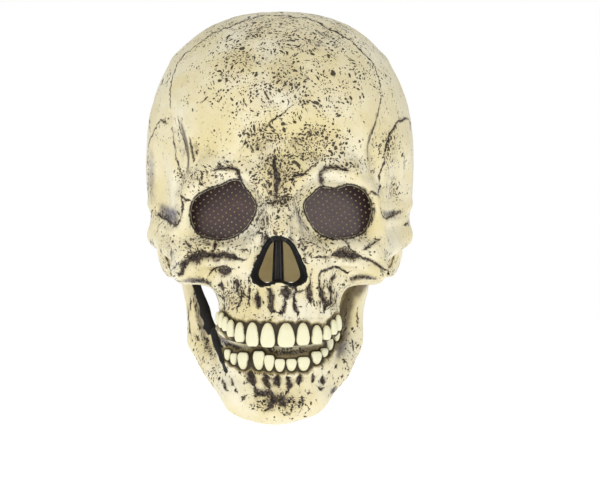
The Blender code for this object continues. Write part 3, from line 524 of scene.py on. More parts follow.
MARKS = (
    Mark("coronal suture", 0.5, 0.5, ((170, 107), (170, 90), (173, 76), (180, 59), (193, 48), (212, 34),
         (230, 27), (245, 20), (258, 16), (275, 15), (296, 17), (314, 21), (333, 31), (350, 40), (363,
         52), (373, 63), (379, 77), (381, 93))),
    Mark("left temple line", 0.45, 0.5, ((177, 116), (181, 138), (184, 152), (188, 167))),
    Mark("left temple groove", 0.7, 0.5, ((191, 138), (193, 150), (195, 161))),
    Mark("left temple plate", 0.5, 0.5, ((148, 200), (147, 172), (148, 149), (153, 133), (160, 121), (167,
         123))),
    Mark("left temple seam", 0.25, 0.3, ((170, 124), (174, 145), (178, 168), (181, 182), (180, 196))),
    Mark("right temple plate", 0.55, 0.5, ((380, 196), (381, 186), (381, 173), (384, 165), (385, 152),
         (388, 140), (394, 128), (400, 121), (408, 119), (411, 130))),
    Mark("right temple line", 0.5, 0.5, ((381, 96), (378, 112), (373, 128), (369, 142))),
    Mark("crease between the brows", 1.0, 0.9, ((275, 157), (274, 166), (277, 178), (276, 190), (276,
         199))),
    Mark("crease across the nose root", 0.4, 0.5, ((260, 204), (268, 203), (277, 201), (290, 199))),
    Mark("forehead hair crack", 0.3, 0.3, ((262, 131), (272, 121), (283, 113), (296, 103))),
    Mark("left brow crease", 0.9, 0.9, ((214, 170), (222, 168), (231, 167), (237, 171), (240, 179))),
    Mark("right brow crease", 0.55, 0.7, ((290, 181), (296, 176), (303, 174), (309, 170), (318, 162))),
    Mark("right brow arc", 0.5, 0.5, ((321, 184), (320, 175), (325, 168), (333, 166), (348, 170))),
    Mark("left crack under the eye", 0.75, 0.6, ((216, 240), (215, 247), (214, 253))),
    Mark("left cheek crease", 2.0, 1.6, ((182, 269), (188, 260), (195, 257), (205, 256), (216, 256), (227,
         256), (237, 258))),
    Mark("left cheek crease foot", 0.7, 0.6, ((176, 273), (181, 273), (186, 267))),
    Mark("left cheek crease end", 0.5, 0.5, ((236, 257), (241, 259), (246, 259))),
    Mark("left cheek hair", 0.35, 0.3, ((172, 269), (176, 266), (180, 262))),
    Mark("left cheek corner crack", 0.5, 0.4, ((184, 241), (188, 244), (191, 249))),
    Mark("left cheek branch", 0.5, 0.4, ((186, 256), (190, 252), (199, 252))),
    Mark("left cheek inner crack", 0.4, 0.3, ((240, 249), (244, 249), (249, 251))),
    Mark("left crescent", 0.5, 0.5, ((210, 274), (214, 269), (220, 266), (228, 267), (234, 269))),
    Mark("left crescent foot", 1.8, 0.8, ((219, 270), (225, 271), (231, 270))),
    Mark("right crack under the eye", 0.5, 0.5, ((343, 240), (347, 245), (349, 249), (354, 250))),
    Mark("right cheek crease", 2.0, 1.4, ((333, 255), (341, 254), (350, 255), (360, 257))),
    Mark("right cheek crease start", 0.5, 0.5, ((315, 258), (322, 257), (331, 257))),
    Mark("right cheek crease end", 0.6, 0.6, ((359, 256), (366, 259), (375, 263), (381, 267), (388,
         272))),
    Mark("right cheek crack", 0.5, 0.4, ((363, 250), (369, 246), (380, 238))),
    Mark("right cheek tip crack", 0.35, 0.3, ((380, 270), (383, 275))),
    Mark("right crescent", 0.6, 0.6, ((318, 281), (321, 273), (328, 269), (337, 267), (344, 271), (349,
         272))),
    Mark("left orbit crack", 0.5, 0.4, ((180, 195), (185, 199), (193, 200))),
    Mark("right orbit crack", 0.45, 0.4, ((370, 191), (374, 193), (379, 196))),
    Mark("left temple foot", 0.6, 0.6, ((155, 214), (163, 218), (171, 224), (177, 224), (181, 218))),
    Mark("left temple foot crack", 0.3, 0.3, ((163, 221), (157, 232))),
    Mark("left edge nick", 0.5, 0.3, ((150, 218), (153, 210))),
    Mark("left lip of the orbit", 0.45, 0.4, ((181, 200), (183, 207), (182, 216))),
    Mark("right temple foot", 0.45, 0.5, ((380, 209), (384, 217), (391, 217), (399, 211))),
    Mark("right arch crack", 0.5, 0.4, ((404, 225), (408, 222))),
    Mark("left arch foot", 0.7, 0.5, ((159, 249), (164, 256), (168, 264), (172, 274))),
    Mark("dark spot 1", 0.8, 0.5, ((218, 163), (221, 164))),
    Mark("dark spot 2", 0.6, 0.5, ((226, 162), (229, 161))),
    Mark("dark spot 3", 0.6, 0.5, ((223, 166), (225, 166))),
    Mark("dark spot 4", 0.7, 0.5, ((200, 183), (203, 182))),
    Mark("nose top spike 1", 0.6, 0.4, ((275, 231), (276, 238))),
    Mark("nose top spike 2", 0.8, 0.4, ((266, 234), (267, 240), (270, 243))),
    Mark("nose top spike 3", 0.6, 0.4, ((261, 246), (264, 247))),
    Mark("right nose nick 1", 0.4, 0.4, ((302, 258), (306, 260))),
    Mark("right nose nick 2", 0.4, 0.4, ((305, 262), (308, 264))),
    Mark("middle groove under the nose", 1.9, 1.2, ((286, 287), (286, 292), (286, 299))),
    Mark("middle groove foot", 0.9, 0.8, ((285, 298), (284, 306), (283, 314))),
    Mark("short crack under the nose", 0.7, 0.5, ((284, 287), (293, 288), (297, 290))),
    Mark("right crack under the nose", 0.55, 0.6, ((307, 289), (299, 292), (294, 294), (294, 301))),
    Mark("upper groove 1", 0.9, 0.8, ((294, 298), (295, 306), (298, 315))),
    Mark("upper groove 2", 1.1, 0.9, ((268, 288), (271, 293), (271, 302), (274, 311))),
    Mark("upper groove 3", 1.2, 0.9, ((258, 291), (258, 300), (259, 307))),
    Mark("upper groove 4", 1.2, 0.9, ((310, 284), (309, 294), (311, 304))),
    Mark("upper groove 5", 1.1, 0.9, ((320, 280), (321, 292), (325, 303), (325, 311))),
    Mark("upper groove 6", 0.8, 0.7, ((331, 283), (331, 294), (330, 307))),
    Mark("upper groove 7", 0.6, 0.5, ((250, 284), (249, 296), (250, 308))),
    Mark("upper groove 8", 0.5, 0.4, ((241, 290), (240, 302), (237, 312))),
    Mark("upper pit 1", 1.3, 0.8, ((221, 282), (222, 286), (223, 291))),
    Mark("upper pit 2", 1.4, 0.8, ((234, 281), (236, 284), (237, 288))),
    Mark("upper pit 3", 0.9, 0.5, ((222, 297), (224, 298))),
    Mark("upper pit 4", 1.0, 0.5, ((334, 274), (333, 281))),
    Mark("upper gum nick 1", 0.8, 0.5, ((271, 313), (272, 310), (276, 311))),
    Mark("upper gum nick 2", 0.8, 0.5, ((279, 313), (283, 313))),
    Mark("chin groove 1", 1.9, 1.0, ((252, 371), (251, 377), (254, 385))),
    Mark("chin groove 1 foot", 1.1, 0.8, ((254, 385), (258, 392), (266, 392), (272, 391))),
    Mark("chin groove 1 tail", 1.3, 0.8, ((272, 391), (273, 399), (271, 406), (265, 411))),
    Mark("chin groove 2", 1.3, 0.9, ((265, 372), (267, 381), (270, 389))),
    Mark("chin groove 3", 1.5, 0.9, ((278, 374), (277, 380), (279, 386))),
    Mark("chin groove 4", 1.1, 0.8, ((287, 376), (289, 383), (288, 389))),
    Mark("chin groove 4 foot", 0.6, 0.5, ((288, 389), (285, 394))),
    Mark("chin groove 5", 1.2, 0.7, ((300, 373), (299, 378), (299, 384))),
    Mark("chin groove 6", 0.6, 0.5, ((313, 372), (312, 382))),
    Mark("chin oval", 1.5, 0.9, ((323, 377), (323, 384))),
    Mark("chin nick", 0.8, 0.6, ((318, 387), (321, 389), (324, 387))),
    Mark("chin crescent", 2.4, 1.2, ((281, 394), (281, 399), (285, 406))),
    Mark("left jaw crack 1", 0.8, 0.6, ((221, 379), (224, 386), (228, 391))),
    Mark("left jaw crack 2", 0.5, 0.5, ((231, 378), (233, 385))),
    Mark("left jaw crack 3", 0.5, 0.4, ((235, 389), (237, 393))),
    Mark("left jaw cross 1", 0.35, 0.3, ((241, 400), (247, 395))),
    Mark("left jaw cross 2", 0.3, 0.3, ((242, 396), (245, 400))),
    Mark("left jaw streak 1", 0.5, 0.4, ((187, 306), (188, 320), (192, 338))),
    Mark("left jaw streak 2", 0.3, 0.3, ((190, 296), (191, 310))),
    Mark("left jaw fork", 0.5, 0.4, ((196, 336), (200, 340))),
    Mark("jaw gum line left", 0.9, 0.6, ((217, 334), (221, 345), (226, 357), (232, 364))),
    Mark("right jaw streak 1", 0.3, 0.3, ((352, 338), (353, 352))),
    Mark("right jaw streak 2", 0.3, 0.3, ((358, 308), (357, 326))),
    Mark("right jaw streak 3", 0.3, 0.3, ((346, 318), (344, 336))),
    Mark("jaw gum line right", 0.5, 0.4, ((334, 346), (326, 354), (321, 362), (312, 367))),
    Mark("right jaw dash", 0.4, 0.3, ((320, 362), (323, 368))),
)
DOTS = ((291, 398), (294, 401), (289, 401), (296, 404), (292, 405), (299, 406), (291, 409), (287, 399),
        (300, 402), (304, 400), (302, 397), (306, 404), (258, 401), (262, 403), (258, 407), (264, 400),
        (255, 396), (285, 413), (305, 416), (294, 396), (251, 404), (309, 392), (268, 397), (329, 372),
        (336, 366), (342, 376), (322, 368), (345, 361), (349, 369), (240, 372), (236, 366))

# %% [markdown]
# ## Sides, top and back
#
# The real skull's sutures run on over the top and meet at the back in a wide V. They are charted as two
# angles, the turn from the face and the lift from the level, because the front view doesn't show them.
# A second painted view for each side would do as well, but angles need only one rule for all round.

# %% Chart of the sides, the top and the back, in degrees
SIDE_MARKS = (
    Mark("sagittal suture", 0.5, 0.5, ((2, 70), (4, 82), (176, 84), (178, 68), (182, 54), (180, 41))),
    Mark("left lambdoid suture", 0.55, 0.5, ((180, 41), (-166, 31), (-152, 20), (-138, 6), (-128, -10),
         (-122, -24))),
    Mark("right lambdoid suture", 0.55, 0.5, ((180, 41), (165, 30), (150, 18), (139, 4), (128, -9), (121,
         -24))),
    Mark("right temporal suture", 0.5, 0.5, ((72, 15), (82, 18), (94, 16), (106, 8), (114, -3), (118,
         -14), (128, -10))),
    Mark("left temporal suture", 0.5, 0.5, ((-66, 12), (-74, 17), (-86, 18), (-98, 13), (-109, 4), (-117,
         -8), (-128, -10))),
    Mark("nuchal crease", 0.8, 0.7, ((-150, -20), (-164, -16), (180, -20), (166, -15), (152, -19))),
    Mark("back hair crack 1", 0.3, 0.3, ((136, 40), (143, 33), (141, 26), (147, 19))),
    Mark("back hair crack 2", 0.35, 0.3, ((-152, -2), (-158, -8), (-156, -15))),
    Mark("side hair crack 1", 0.3, 0.3, ((-98, 46), (-95, 39), (-100, 32), (-96, 26))),
    Mark("side hair crack 2", 0.3, 0.3, ((88, 44), (95, 40), (97, 33))),
    Mark("top hair crack", 0.3, 0.3, ((60, 66), (48, 70), (30, 69))),
    Mark("right ear crease", 0.7, 0.7, ((84, -20), (92, -22), (98, -27))),
    Mark("left ear crease", 0.7, 0.7, ((-84, -21), (-92, -22), (-99, -28))),
)
SIDE_FORMS = (
    Form("nuchal ridge", 7.0, 1.5, ((-140, -14), (-160, -10), (180, -13), (160, -10), (140, -14))),
    Form("bump at the back", 8.0, 1.4, ((176, -8), (184, -9))),
    Form("right temporal line", 5.0, 1.0, ((62, 40), (84, 44), (108, 38), (128, 22))),
    Form("left temporal line", 5.0, 1.0, ((-62, 41), (-85, 44), (-108, 37), (-128, 21))),
    Form("right ear hollow", 5.0, -1.8, ((92, -20), (96, -22))),
    Form("left ear hollow", 5.0, -1.8, ((-92, -20), (-96, -22))),
    Form("right arch top", 4.0, 1.2, ((62, -19), (76, -18), (92, -17))),
    Form("left arch top", 4.0, 1.2, ((-62, -19), (-76, -18), (-92, -17))),
)
SIDE_WASH = (
    Form("nuchal crease", 5.0, 0.45, ((-150, -20), (-164, -17), (180, -21), (166, -16), (152, -20))),
    Form("right ear", 5.0, 0.6, ((88, -21), (98, -24))),
    Form("left ear", 5.0, 0.6, ((-88, -21), (-98, -24))),
    Form("right temporal suture", 3.0, 0.4, ((72, 15), (94, 16), (106, 8), (118, -14))),
    Form("left temporal suture", 3.0, 0.4, ((-66, 12), (-86, 18), (-98, 13), (-117, -8))),
    Form("back top", 5.0, 0.4, ((176, 60), (182, 41))),
    Form("left lambdoid suture", 3.0, 0.4, ((180, 41), (-152, 20), (-138, 6))),
    Form("right lambdoid suture", 3.0, 0.4, ((180, 41), (150, 18), (139, 4))),
    Form("right lower side", 6.0, 0.4, ((104, -30), (118, -32), (130, -34))),
    Form("left lower side", 6.0, 0.4, ((-104, -30), (-118, -32), (-132, -34))),
)

# %% [markdown]
# ## Soft forms and brushed colour
#
# Between the large bones lie low ridges and dips, such as the roots of the teeth, that the sculptor
# pressed in with a thumb. They, the strokes of wash, the smooth grey painted shade and the black
# are all strokes with a half width in millimetres and a height or strength. Much of the wash, all of
# the grey shade and the black in the jaw trench are painted shadow: under the brows and cheeks, in
# the orbits, on the temple ledges and in the trenches of the jaw.

# %% Chart of soft forms, wash, painted shade and black
SKULL_FORMS = (
    Form("left brow ridge", 4.4, 2.8, ((190, 191), (204, 185), (220, 179), (236, 176))),
    Form("left brow dip", 1.9, -2.0, ((212, 170), (224, 167), (236, 170), (242, 182))),
    Form("right brow ridge", 4.4, 2.6, ((325, 180), (340, 179), (356, 181), (368, 189))),
    Form("right brow dip", 2.1, -2.0, ((322, 186), (320, 175), (327, 168), (338, 166), (350, 170))),
    Form("left glabella lobe", 6.0, 1.9, ((250, 166), (256, 180), (264, 194))),
    Form("right glabella lobe", 6.0, 1.9, ((300, 168), (298, 182), (292, 194))),
    Form("dip over the glabella", 7.0, -1.6, ((240, 150), (262, 144), (290, 144), (314, 150))),
    Form("nose root dip", 3.4, -1.6, ((258, 204), (276, 202), (294, 201))),
    Form("left temple ridge", 3.4, 2.0, ((176, 98), (184, 118), (192, 138), (194, 158), (188, 184))),
    Form("left temple hollow", 4.4, -3.0, ((170, 116), (178, 138), (183, 158), (180, 178), (176, 200))),
    Form("right temple ridge", 3.4, 1.6, ((380, 98), (373, 118), (365, 138), (362, 158), (370, 182))),
    Form("right temple hollow", 4.6, -2.4, ((386, 118), (375, 140), (373, 160), (379, 184), (382, 204))),
    Form("left arch ledge", 2.6, 1.8, ((152, 222), (164, 229), (174, 232), (186, 226))),
    Form("right arch ledge", 2.6, 1.4, ((380, 222), (392, 221), (406, 218))),
    Form("left temple foot dip", 3.0, -1.6, ((158, 212), (168, 217), (178, 216))),
    Form("right temple foot dip", 2.4, -1.4, ((383, 212), (390, 213), (399, 209))),
    Form("left outer bar", 3.2, 1.2, ((186, 200), (186, 214), (188, 228), (198, 242))),
    Form("right outer bar", 3.0, 1.2, ((377, 200), (378, 212), (375, 226), (368, 240))),
    Form("left orbit foot", 2.8, 1.2, ((196, 243), (212, 248), (232, 247), (248, 236))),
    Form("right orbit foot", 2.8, 1.2, ((312, 236), (326, 245), (346, 246), (362, 242))),
    Form("left cheek ridge", 3.6, 2.4, ((178, 280), (190, 271), (206, 264), (226, 263), (242, 266))),
    Form("right cheek ridge", 3.6, 2.4, ((318, 268), (334, 264), (352, 263), (368, 270), (384, 277))),
    Form("left crease dip", 2.8, -1.6, ((184, 268), (192, 257), (210, 255), (234, 257))),
    Form("right crease dip", 2.6, -1.4, ((326, 256), (342, 254), (358, 256), (376, 264))),
    Form("left nose side", 2.2, 1.4, ((262, 236), (254, 250), (250, 264), (250, 276), (258, 288))),
    Form("right nose side", 2.2, 1.4, ((294, 236), (304, 250), (309, 264), (311, 276), (304, 288))),
    Form("nose sill", 1.5, 1.0, ((262, 287), (279, 283), (297, 287))),
    Form("root 1", 2.0, 1.1, ((236, 290), (236, 302), (240, 316))),
    Form("root 2", 2.2, 1.3, ((254, 292), (253, 304), (253, 318))),
    Form("root 3", 2.4, 1.4, ((264, 292), (265, 304), (267, 319))),
    Form("root 4", 2.4, 1.4, ((278, 292), (278, 304), (278, 319))),
    Form("root 5", 2.0, 1.3, ((290, 294), (290, 304), (290, 319))),
    Form("root 6", 2.4, 1.4, ((302, 294), (303, 306), (303, 319))),
    Form("root 7", 2.2, 1.3, ((315, 276), (316, 298), (317, 320))),
    Form("root 8", 2.0, 1.2, ((326, 278), (327, 298), (328, 316))),
    Form("left hollow beside the nose", 4.0, -1.4, ((244, 268), (240, 284), (240, 296))),
    Form("right hollow beside the nose", 4.0, -1.2, ((322, 270), (326, 280), (334, 290))),
)
JAW_FORMS = (
    Form("lower root 1", 2.0, 1.2, ((245, 372), (247, 382), (250, 394))),
    Form("lower root 2", 2.2, 1.3, ((259, 371), (260, 381), (262, 390))),
    Form("lower root 3", 2.0, 1.3, ((272, 373), (273, 388))),
    Form("lower root 4", 2.0, 1.3, ((283, 373), (283, 389))),
    Form("lower root 5", 2.0, 1.3, ((294, 372), (294, 388))),
    Form("lower root 6", 2.4, 1.2, ((306, 370), (306, 386))),
    Form("dip over the chin", 5.0, -1.4, ((250, 394), (275, 396), (300, 394), (320, 388))),
    Form("chin knob", 9.0, 1.6, ((268, 412), (285, 414), (300, 410))),
)
# Black along the left jaw trench: black paint and painted shadow in the trench.
JAW_BLACK_AND_SHADOW = (
    Form("left trench", 4.2, 1.0, ((198, 286), (201, 296), (205, 308), (209, 320), (211, 331), (214, 342),
         (217, 352), (221, 362), (226, 371))),
    Form("left trench top", 2.6, 0.9, ((193, 282), (198, 288), (203, 296))),
)
# Wash strokes: in the cracks and creases they are wash; under the brows and cheeks, in the orbits and beside
# the nose they are painted shade.
SKULL_WASH_AND_SHADE = (
    Form("left brow crease", 1.9, 0.8, ((212, 170), (224, 168), (236, 169), (241, 180))),
    Form("under the left brow", 1.4, 0.85, ((194, 198), (204, 191), (217, 187), (229, 181), (238, 178))),
    Form("left notch of the orbit", 1.8, 0.9, ((240, 176), (242, 184), (246, 191))),
    Form("left orbit side", 1.0, 0.5, ((190, 203), (189, 214), (191, 227))),
    Form("left orbit foot", 1.0, 0.6, ((195, 234), (208, 241), (222, 242), (238, 237), (248, 227))),
    Form("left inner orbit", 2.6, 0.45, ((257, 197), (260, 208), (257, 220), (250, 230))),
    Form("left nose flank", 1.3, 0.55, ((263, 205), (263, 220), (258, 234))),
    Form("under the right brow", 1.3, 0.85, ((320, 189), (334, 188), (350, 184), (362, 187), (370, 195))),
    Form("right brow arc", 2.4, 0.75, ((322, 184), (321, 175), (326, 168), (336, 166), (347, 169))),
    Form("right brow corner", 2.4, 0.8, ((321, 172), (322, 180), (323, 186))),
    Form("right orbit side", 1.5, 0.75, ((371, 196), (374, 208), (371, 222), (364, 234))),
    Form("right orbit foot", 1.1, 0.65, ((308, 216), (316, 230), (328, 239), (345, 240), (358, 237))),
    Form("right inner orbit", 2.3, 0.6, ((295, 203), (298, 213), (303, 224), (310, 234))),
    Form("right nose flank", 1.8, 0.5, ((294, 228), (300, 240), (304, 252), (308, 262))),
    Form("crease between the brows", 4.6, 0.55, ((275, 158), (276, 172), (277, 186), (276, 198))),
    Form("over the nose root", 3.6, 0.5, ((258, 160), (274, 156), (292, 160))),
    Form("across the nose root", 1.6, 0.45, ((260, 204), (270, 202), (280, 201), (292, 199))),
    Form("left temple ledge", 1.0, 0.6, ((182, 134), (185, 148), (188, 166))),
    Form("left temple foot line", 1.5, 0.9, ((156, 213), (164, 218), (172, 223), (180, 220))),
    Form("beside the left temple groove", 2.0, 0.55, ((195, 142), (197, 150), (197, 158))),
    Form("left edge", 1.2, 0.5, ((149, 142), (148, 170), (148, 196))),
    Form("right temple ledge", 2.0, 0.5, ((371, 130), (368, 144), (369, 160))),
    Form("right temple foot", 1.9, 0.65, ((382, 210), (387, 216), (395, 213), (402, 210))),
    Form("right temple side", 1.6, 0.35, ((400, 134), (404, 160), (404, 186))),
    Form("left arch foot", 1.6, 0.75, ((158, 246), (164, 256), (169, 268), (175, 280))),
    Form("under the left cheek", 2.6, 0.9, ((176, 280), (190, 282), (204, 281), (214, 289))),
    Form("under the right cheek", 2.0, 0.8, ((349, 279), (362, 277), (376, 279))),
    Form("round the left cheek crease", 3.0, 0.5, ((180, 270), (192, 259), (210, 256), (230, 257), (242,
         259))),
    Form("round the right cheek crease", 2.6, 0.45, ((322, 258), (340, 255), (358, 257), (372, 263))),
    Form("left of the nose", 1.2, 0.5, ((250, 268), (249, 284), (249, 300))),
    Form("right of the nose", 1.2, 0.5, ((311, 270), (310, 284), (309, 300))),
    Form("right maxilla stroke 1", 1.4, 0.5, ((320, 276), (322, 292), (323, 310))),
    Form("right maxilla stroke 2", 1.3, 0.5, ((331, 284), (331, 300), (330, 314))),
    Form("right maxilla stroke 3", 1.3, 0.4, ((341, 290), (340, 304))),
    Form("over the upper teeth", 1.6, 0.45, ((236, 316), (258, 318), (280, 318), (304, 319), (322, 318))),
)
# Painted shade: the shadow side of the temple ledges and feet, under the brows and cheeks, in the inner
# orbits and creases, and a darker left side and crown.
SKULL_SHADE = (
    Form("left temple ledge", 2.6, 1.0, ((181, 122), (185, 142), (187, 158), (186, 174))),
    Form("left temple foot", 4.6, 0.85, ((160, 207), (168, 213), (177, 213))),
    Form("left temple foot line", 1.8, 0.8, ((158, 214), (168, 219), (178, 220))),
    Form("right temple ledge", 2.2, 0.55, ((371, 128), (368, 144), (369, 162))),
    Form("right temple foot", 2.4, 0.6, ((384, 212), (390, 214), (400, 211))),
    Form("right brow arc", 3.0, 0.6, ((322, 186), (321, 175), (327, 168), (340, 167), (350, 171))),
    Form("under the left brow", 1.6, 0.6, ((194, 197), (206, 190), (220, 185), (236, 178))),
    Form("left inner orbit", 3.0, 0.35, ((259, 198), (263, 212), (258, 228), (252, 240))),
    Form("right inner orbit", 3.0, 0.45, ((294, 204), (298, 216), (302, 232), (306, 250))),
    Form("under the left cheek", 3.0, 0.9, ((184, 280), (196, 280), (208, 283))),
    Form("under the right cheek", 2.6, 0.9, ((350, 280), (362, 277), (374, 278))),
    Form("left cheek crease", 2.0, 0.3, ((186, 266), (196, 257), (216, 255), (236, 258))),
    Form("right cheek crease", 2.2, 0.5, ((330, 255), (346, 254), (362, 257))),
    Form("left side", 6.0, 0.55, ((152, 150), (151, 180), (152, 204))),
    Form("crown middle", 16.0, 0.25, ((250, 60), (285, 70), (300, 110))),
)
# Painted shade in the right jaw trench, on the gum flanges under the upper teeth, beside the left trench and
# in a spot on the chin.
JAW_SHADE = (
    Form("right trench top", 7.0, 1.0, ((372, 276), (360, 284), (351, 296))),
    Form("right trench", 5.6, 1.0, ((354, 284), (348, 300), (344, 316), (342, 332), (340, 352))),
    Form("right trench foot", 3.0, 0.8, ((342, 334), (340, 346), (338, 358))),
    Form("left gum flange", 5.0, 0.8, ((218, 336), (229, 344), (244, 349))),
    Form("beside the left trench", 3.0, 0.6, ((195, 290), (198, 310), (203, 330), (210, 350))),
    Form("gum flange", 4.0, 0.8, ((246, 350), (272, 354), (300, 353), (324, 345))),
    Form("chin smudge", 2.6, 0.7, ((330, 393), (337, 388))),
)
# Wash strokes on the jaw, partly painted shade in the trenches and on the gum flanges under the upper teeth.
JAW_WASH_AND_SHADE = (
    Form("beside the left trench", 2.4, 0.6, ((194, 290), (197, 310), (201, 330), (208, 348), (214,
         360))),
    Form("left outer streak", 0.9, 0.6, ((187, 300), (188, 318), (191, 336))),
    Form("right trench", 1.6, 0.5, ((354, 284), (348, 300), (344, 318), (341, 334), (340, 350))),
    Form("left gum flange", 4.0, 0.75, ((219, 338), (229, 345), (243, 349))),
    Form("right gum flange", 2.6, 0.6, ((334, 338), (325, 346), (316, 350))),
    Form("under the lower teeth", 1.6, 0.6, ((234, 366), (250, 371), (272, 373), (296, 372), (312, 368))),
    Form("chin oval", 2.2, 0.5, ((323, 376), (323, 385))),
    Form("chin smudge", 2.4, 0.6, ((330, 393), (337, 388))),
    Form("left jaw side", 1.4, 0.5, ((208, 378), (216, 388), (224, 396))),
    Form("beside the chin crescent", 3.6, 0.35, ((268, 396), (268, 408))),
)

# %% [markdown]
# ## From the chart to the skin
#
# A charted spot is a line of sight of the camera, which is walked back to the skin as the grid's rays
# are. Projecting the skin's points to the front view instead would stretch every line at the sides.

# %% From the front view to the skin
FOCAL = 2804.0
FRAME_MIDDLE = (300.0, 239.5)
CAMERA_PLACE = (0.0143, -2.0, -0.1598)


def open_curve(points, steps):
    """Open smooth curve through knots; its ends are carried straight on."""
    knots = np.asarray(points, float)
    ends = np.concatenate([[2 * knots[0] - knots[1]], knots, [2 * knots[-1] - knots[-2]]])
    before, here, after, later = (ends[shift:len(ends) - 3 + shift, None, :] for shift in range(4))
    share = (np.arange(steps) / steps)[None, :, None]
    curve = cubic(before, here, after, later, share)
    return np.concatenate([curve.reshape(-1, knots.shape[1]), knots[-1:]])


def on_skin(distance, spots):
    """Where the lines of sight through spots of the front view meet a skin: place is the camera's
    plus the depth times the spot's offset over the focal length."""
    offset = (np.asarray(spots, float) - FRAME_MIDDLE) / FOCAL
    depth = 0.02 - CAMERA_PLACE[1]
    away = np.stack([-offset[:, 0], np.full(len(offset), -1.0), offset[:, 1]], -1)
    start = np.asarray(CAMERA_PLACE) - away * depth
    away = unit(away)
    reach = meet(distance, start, away, 0.0, np.full(len(away), 0.165))
    return start + away * reach[:, None]


def front_view(points):
    """Spot of the front view at which each point is seen."""
    depth = points[:, 1] - CAMERA_PLACE[1]
    return np.stack([FRAME_MIDDLE[0] + FOCAL * (points[:, 0] - CAMERA_PLACE[0]) / depth,
                     FRAME_MIDDLE[1] - FOCAL * (points[:, 2] - CAMERA_PLACE[2]) / depth], -1)


def line_gap(points, line, reach):
    """The points near a line: their numbers, distance, share of the way along, nearest step of the
    line and offset from it."""
    close = np.nonzero(((points > line.min(0) - reach) & (points < line.max(0) + reach)).all(1))[0]
    along = line[1:] - line[:-1]
    offset = points[close, None, :] - line[:-1]
    share = np.clip((offset * along).sum(-1) / np.maximum((along**2).sum(-1), 1e-12), 0, 1)
    offset = offset - share[..., None] * along
    gaps = np.linalg.norm(offset, axis=-1)
    best = gaps.argmin(1)
    row = np.arange(len(close))
    passed = (best + share[row, best]) / len(along)
    return close, gaps[row, best], passed, along[best], offset[row, best]


def tapered(passed, ends):
    """Share of a stroke's width: a root of a sine of the way along, from the share left at its ends."""
    return ends + (1 - ends) * np.sqrt(np.sin(math.pi * np.clip(passed, 0, 1)).clip(0, 1))


def chart(points, normals, lines):
    """For each point: signed and plain distance to the nearest line, its half width, and how far the
    skin moves. It sinks by the depth times a bell curve of distance over half width, and a part of
    that stands up as a lip on both sides. Lines taper to their ends, and noise makes them uneven."""
    near = np.full(len(points), NO_LINE)
    side = near.copy()
    wide = np.full(len(points), 0.4 * MM)
    sink = np.zeros(len(points))
    lip = np.zeros(len(points))
    smear = np.zeros(len(points))
    for half, depth, line in lines:
        close, gap, passed, along, offset = line_gap(points, line, (4 + 4 * half) * MM)
        taper = tapered(passed, 0.3)
        width = half * MM * taper * (1 + 0.5 * waves(points[close], 4.5 * MM, 21))
        turn = (np.cross(along, offset) * normals[close]).sum(-1)
        nearer = gap - width < near[close] - wide[close]
        chosen = close[nearer]
        near[chosen] = gap[nearer]
        side[chosen] = np.where(turn[nearer] > 0, gap[nearer], -gap[nearer])
        wide[chosen] = width[nearer]
        sink[close] = np.minimum(sink[close], -depth * MM * taper * bell(gap / (width * 1.3)))
        ridge = 0.35 * depth * MM * taper * bell((gap - 2.6 * width) / (1.3 * width))
        lip[close] = np.maximum(lip[close], ridge)
        left = min(1.0, 0.35 + half * 0.5) * taper * bell(gap / (2.0 * width + 0.8 * MM))
        smear[close] = np.maximum(smear[close], left)
    return side, near, wide, sink + lip, smear


def formed(points, lines):
    """Soft ridges and hollows: the sum of height times a bell curve of distance over half width."""
    found = np.zeros(len(points))
    for half, height, line in lines:
        close, gap, passed, _, _ = line_gap(points, line, 2.6 * half * MM)
        taper = np.sqrt(np.sin(math.pi * np.clip(passed, 0.04, 0.96)))
        found[close] += height * MM * taper * bell(gap / (half * MM))
    return found


def soft_strokes(points, lines):
    """Soft strokes, of wash and of painted shade: the highest of strength times a bell curve of distance
    over half width, thinner to the ends of each stroke."""
    found = np.zeros(len(points))
    for half, strength, line in lines:
        close, gap, passed, _, _ = line_gap(points, line, 2.4 * half * MM)
        left = bell(gap / (half * MM)) * tapered(passed, 0.35)
        found[close] = np.maximum(found[close], strength * left)
    return found


def black_strokes(points, lines):
    """Black along lines, paint and painted shadow in the jaw trench: full within the half width, with a
    ragged edge of a fifth of it.
    """
    found = np.zeros(len(points))
    for half, amount, line in lines:
        close, gap, passed, _, _ = line_gap(points, line, 3 * half * MM)
        edge = gap / (half * MM * tapered(passed, 0.35)) + 0.25 * waves(points[close], 3 * MM, 31)
        found[close] = np.maximum(found[close], amount * np.clip((1.25 - edge) / 0.4, 0, 1))
    return found


# %% [markdown]
# ## Teeth
#
# The teeth are part of the castings and are painted ivory. Each is a rounded block: a superellipsoid, an
# ellipsoid whose powers make it boxier. The tables give the middle, the top, the bottom and the width
# of each, because no two of these teeth are the same. The skin round them sinks into dark sockets.

# %% Tables of the teeth
Tooth = namedtuple("Tooth", "x top bottom width")

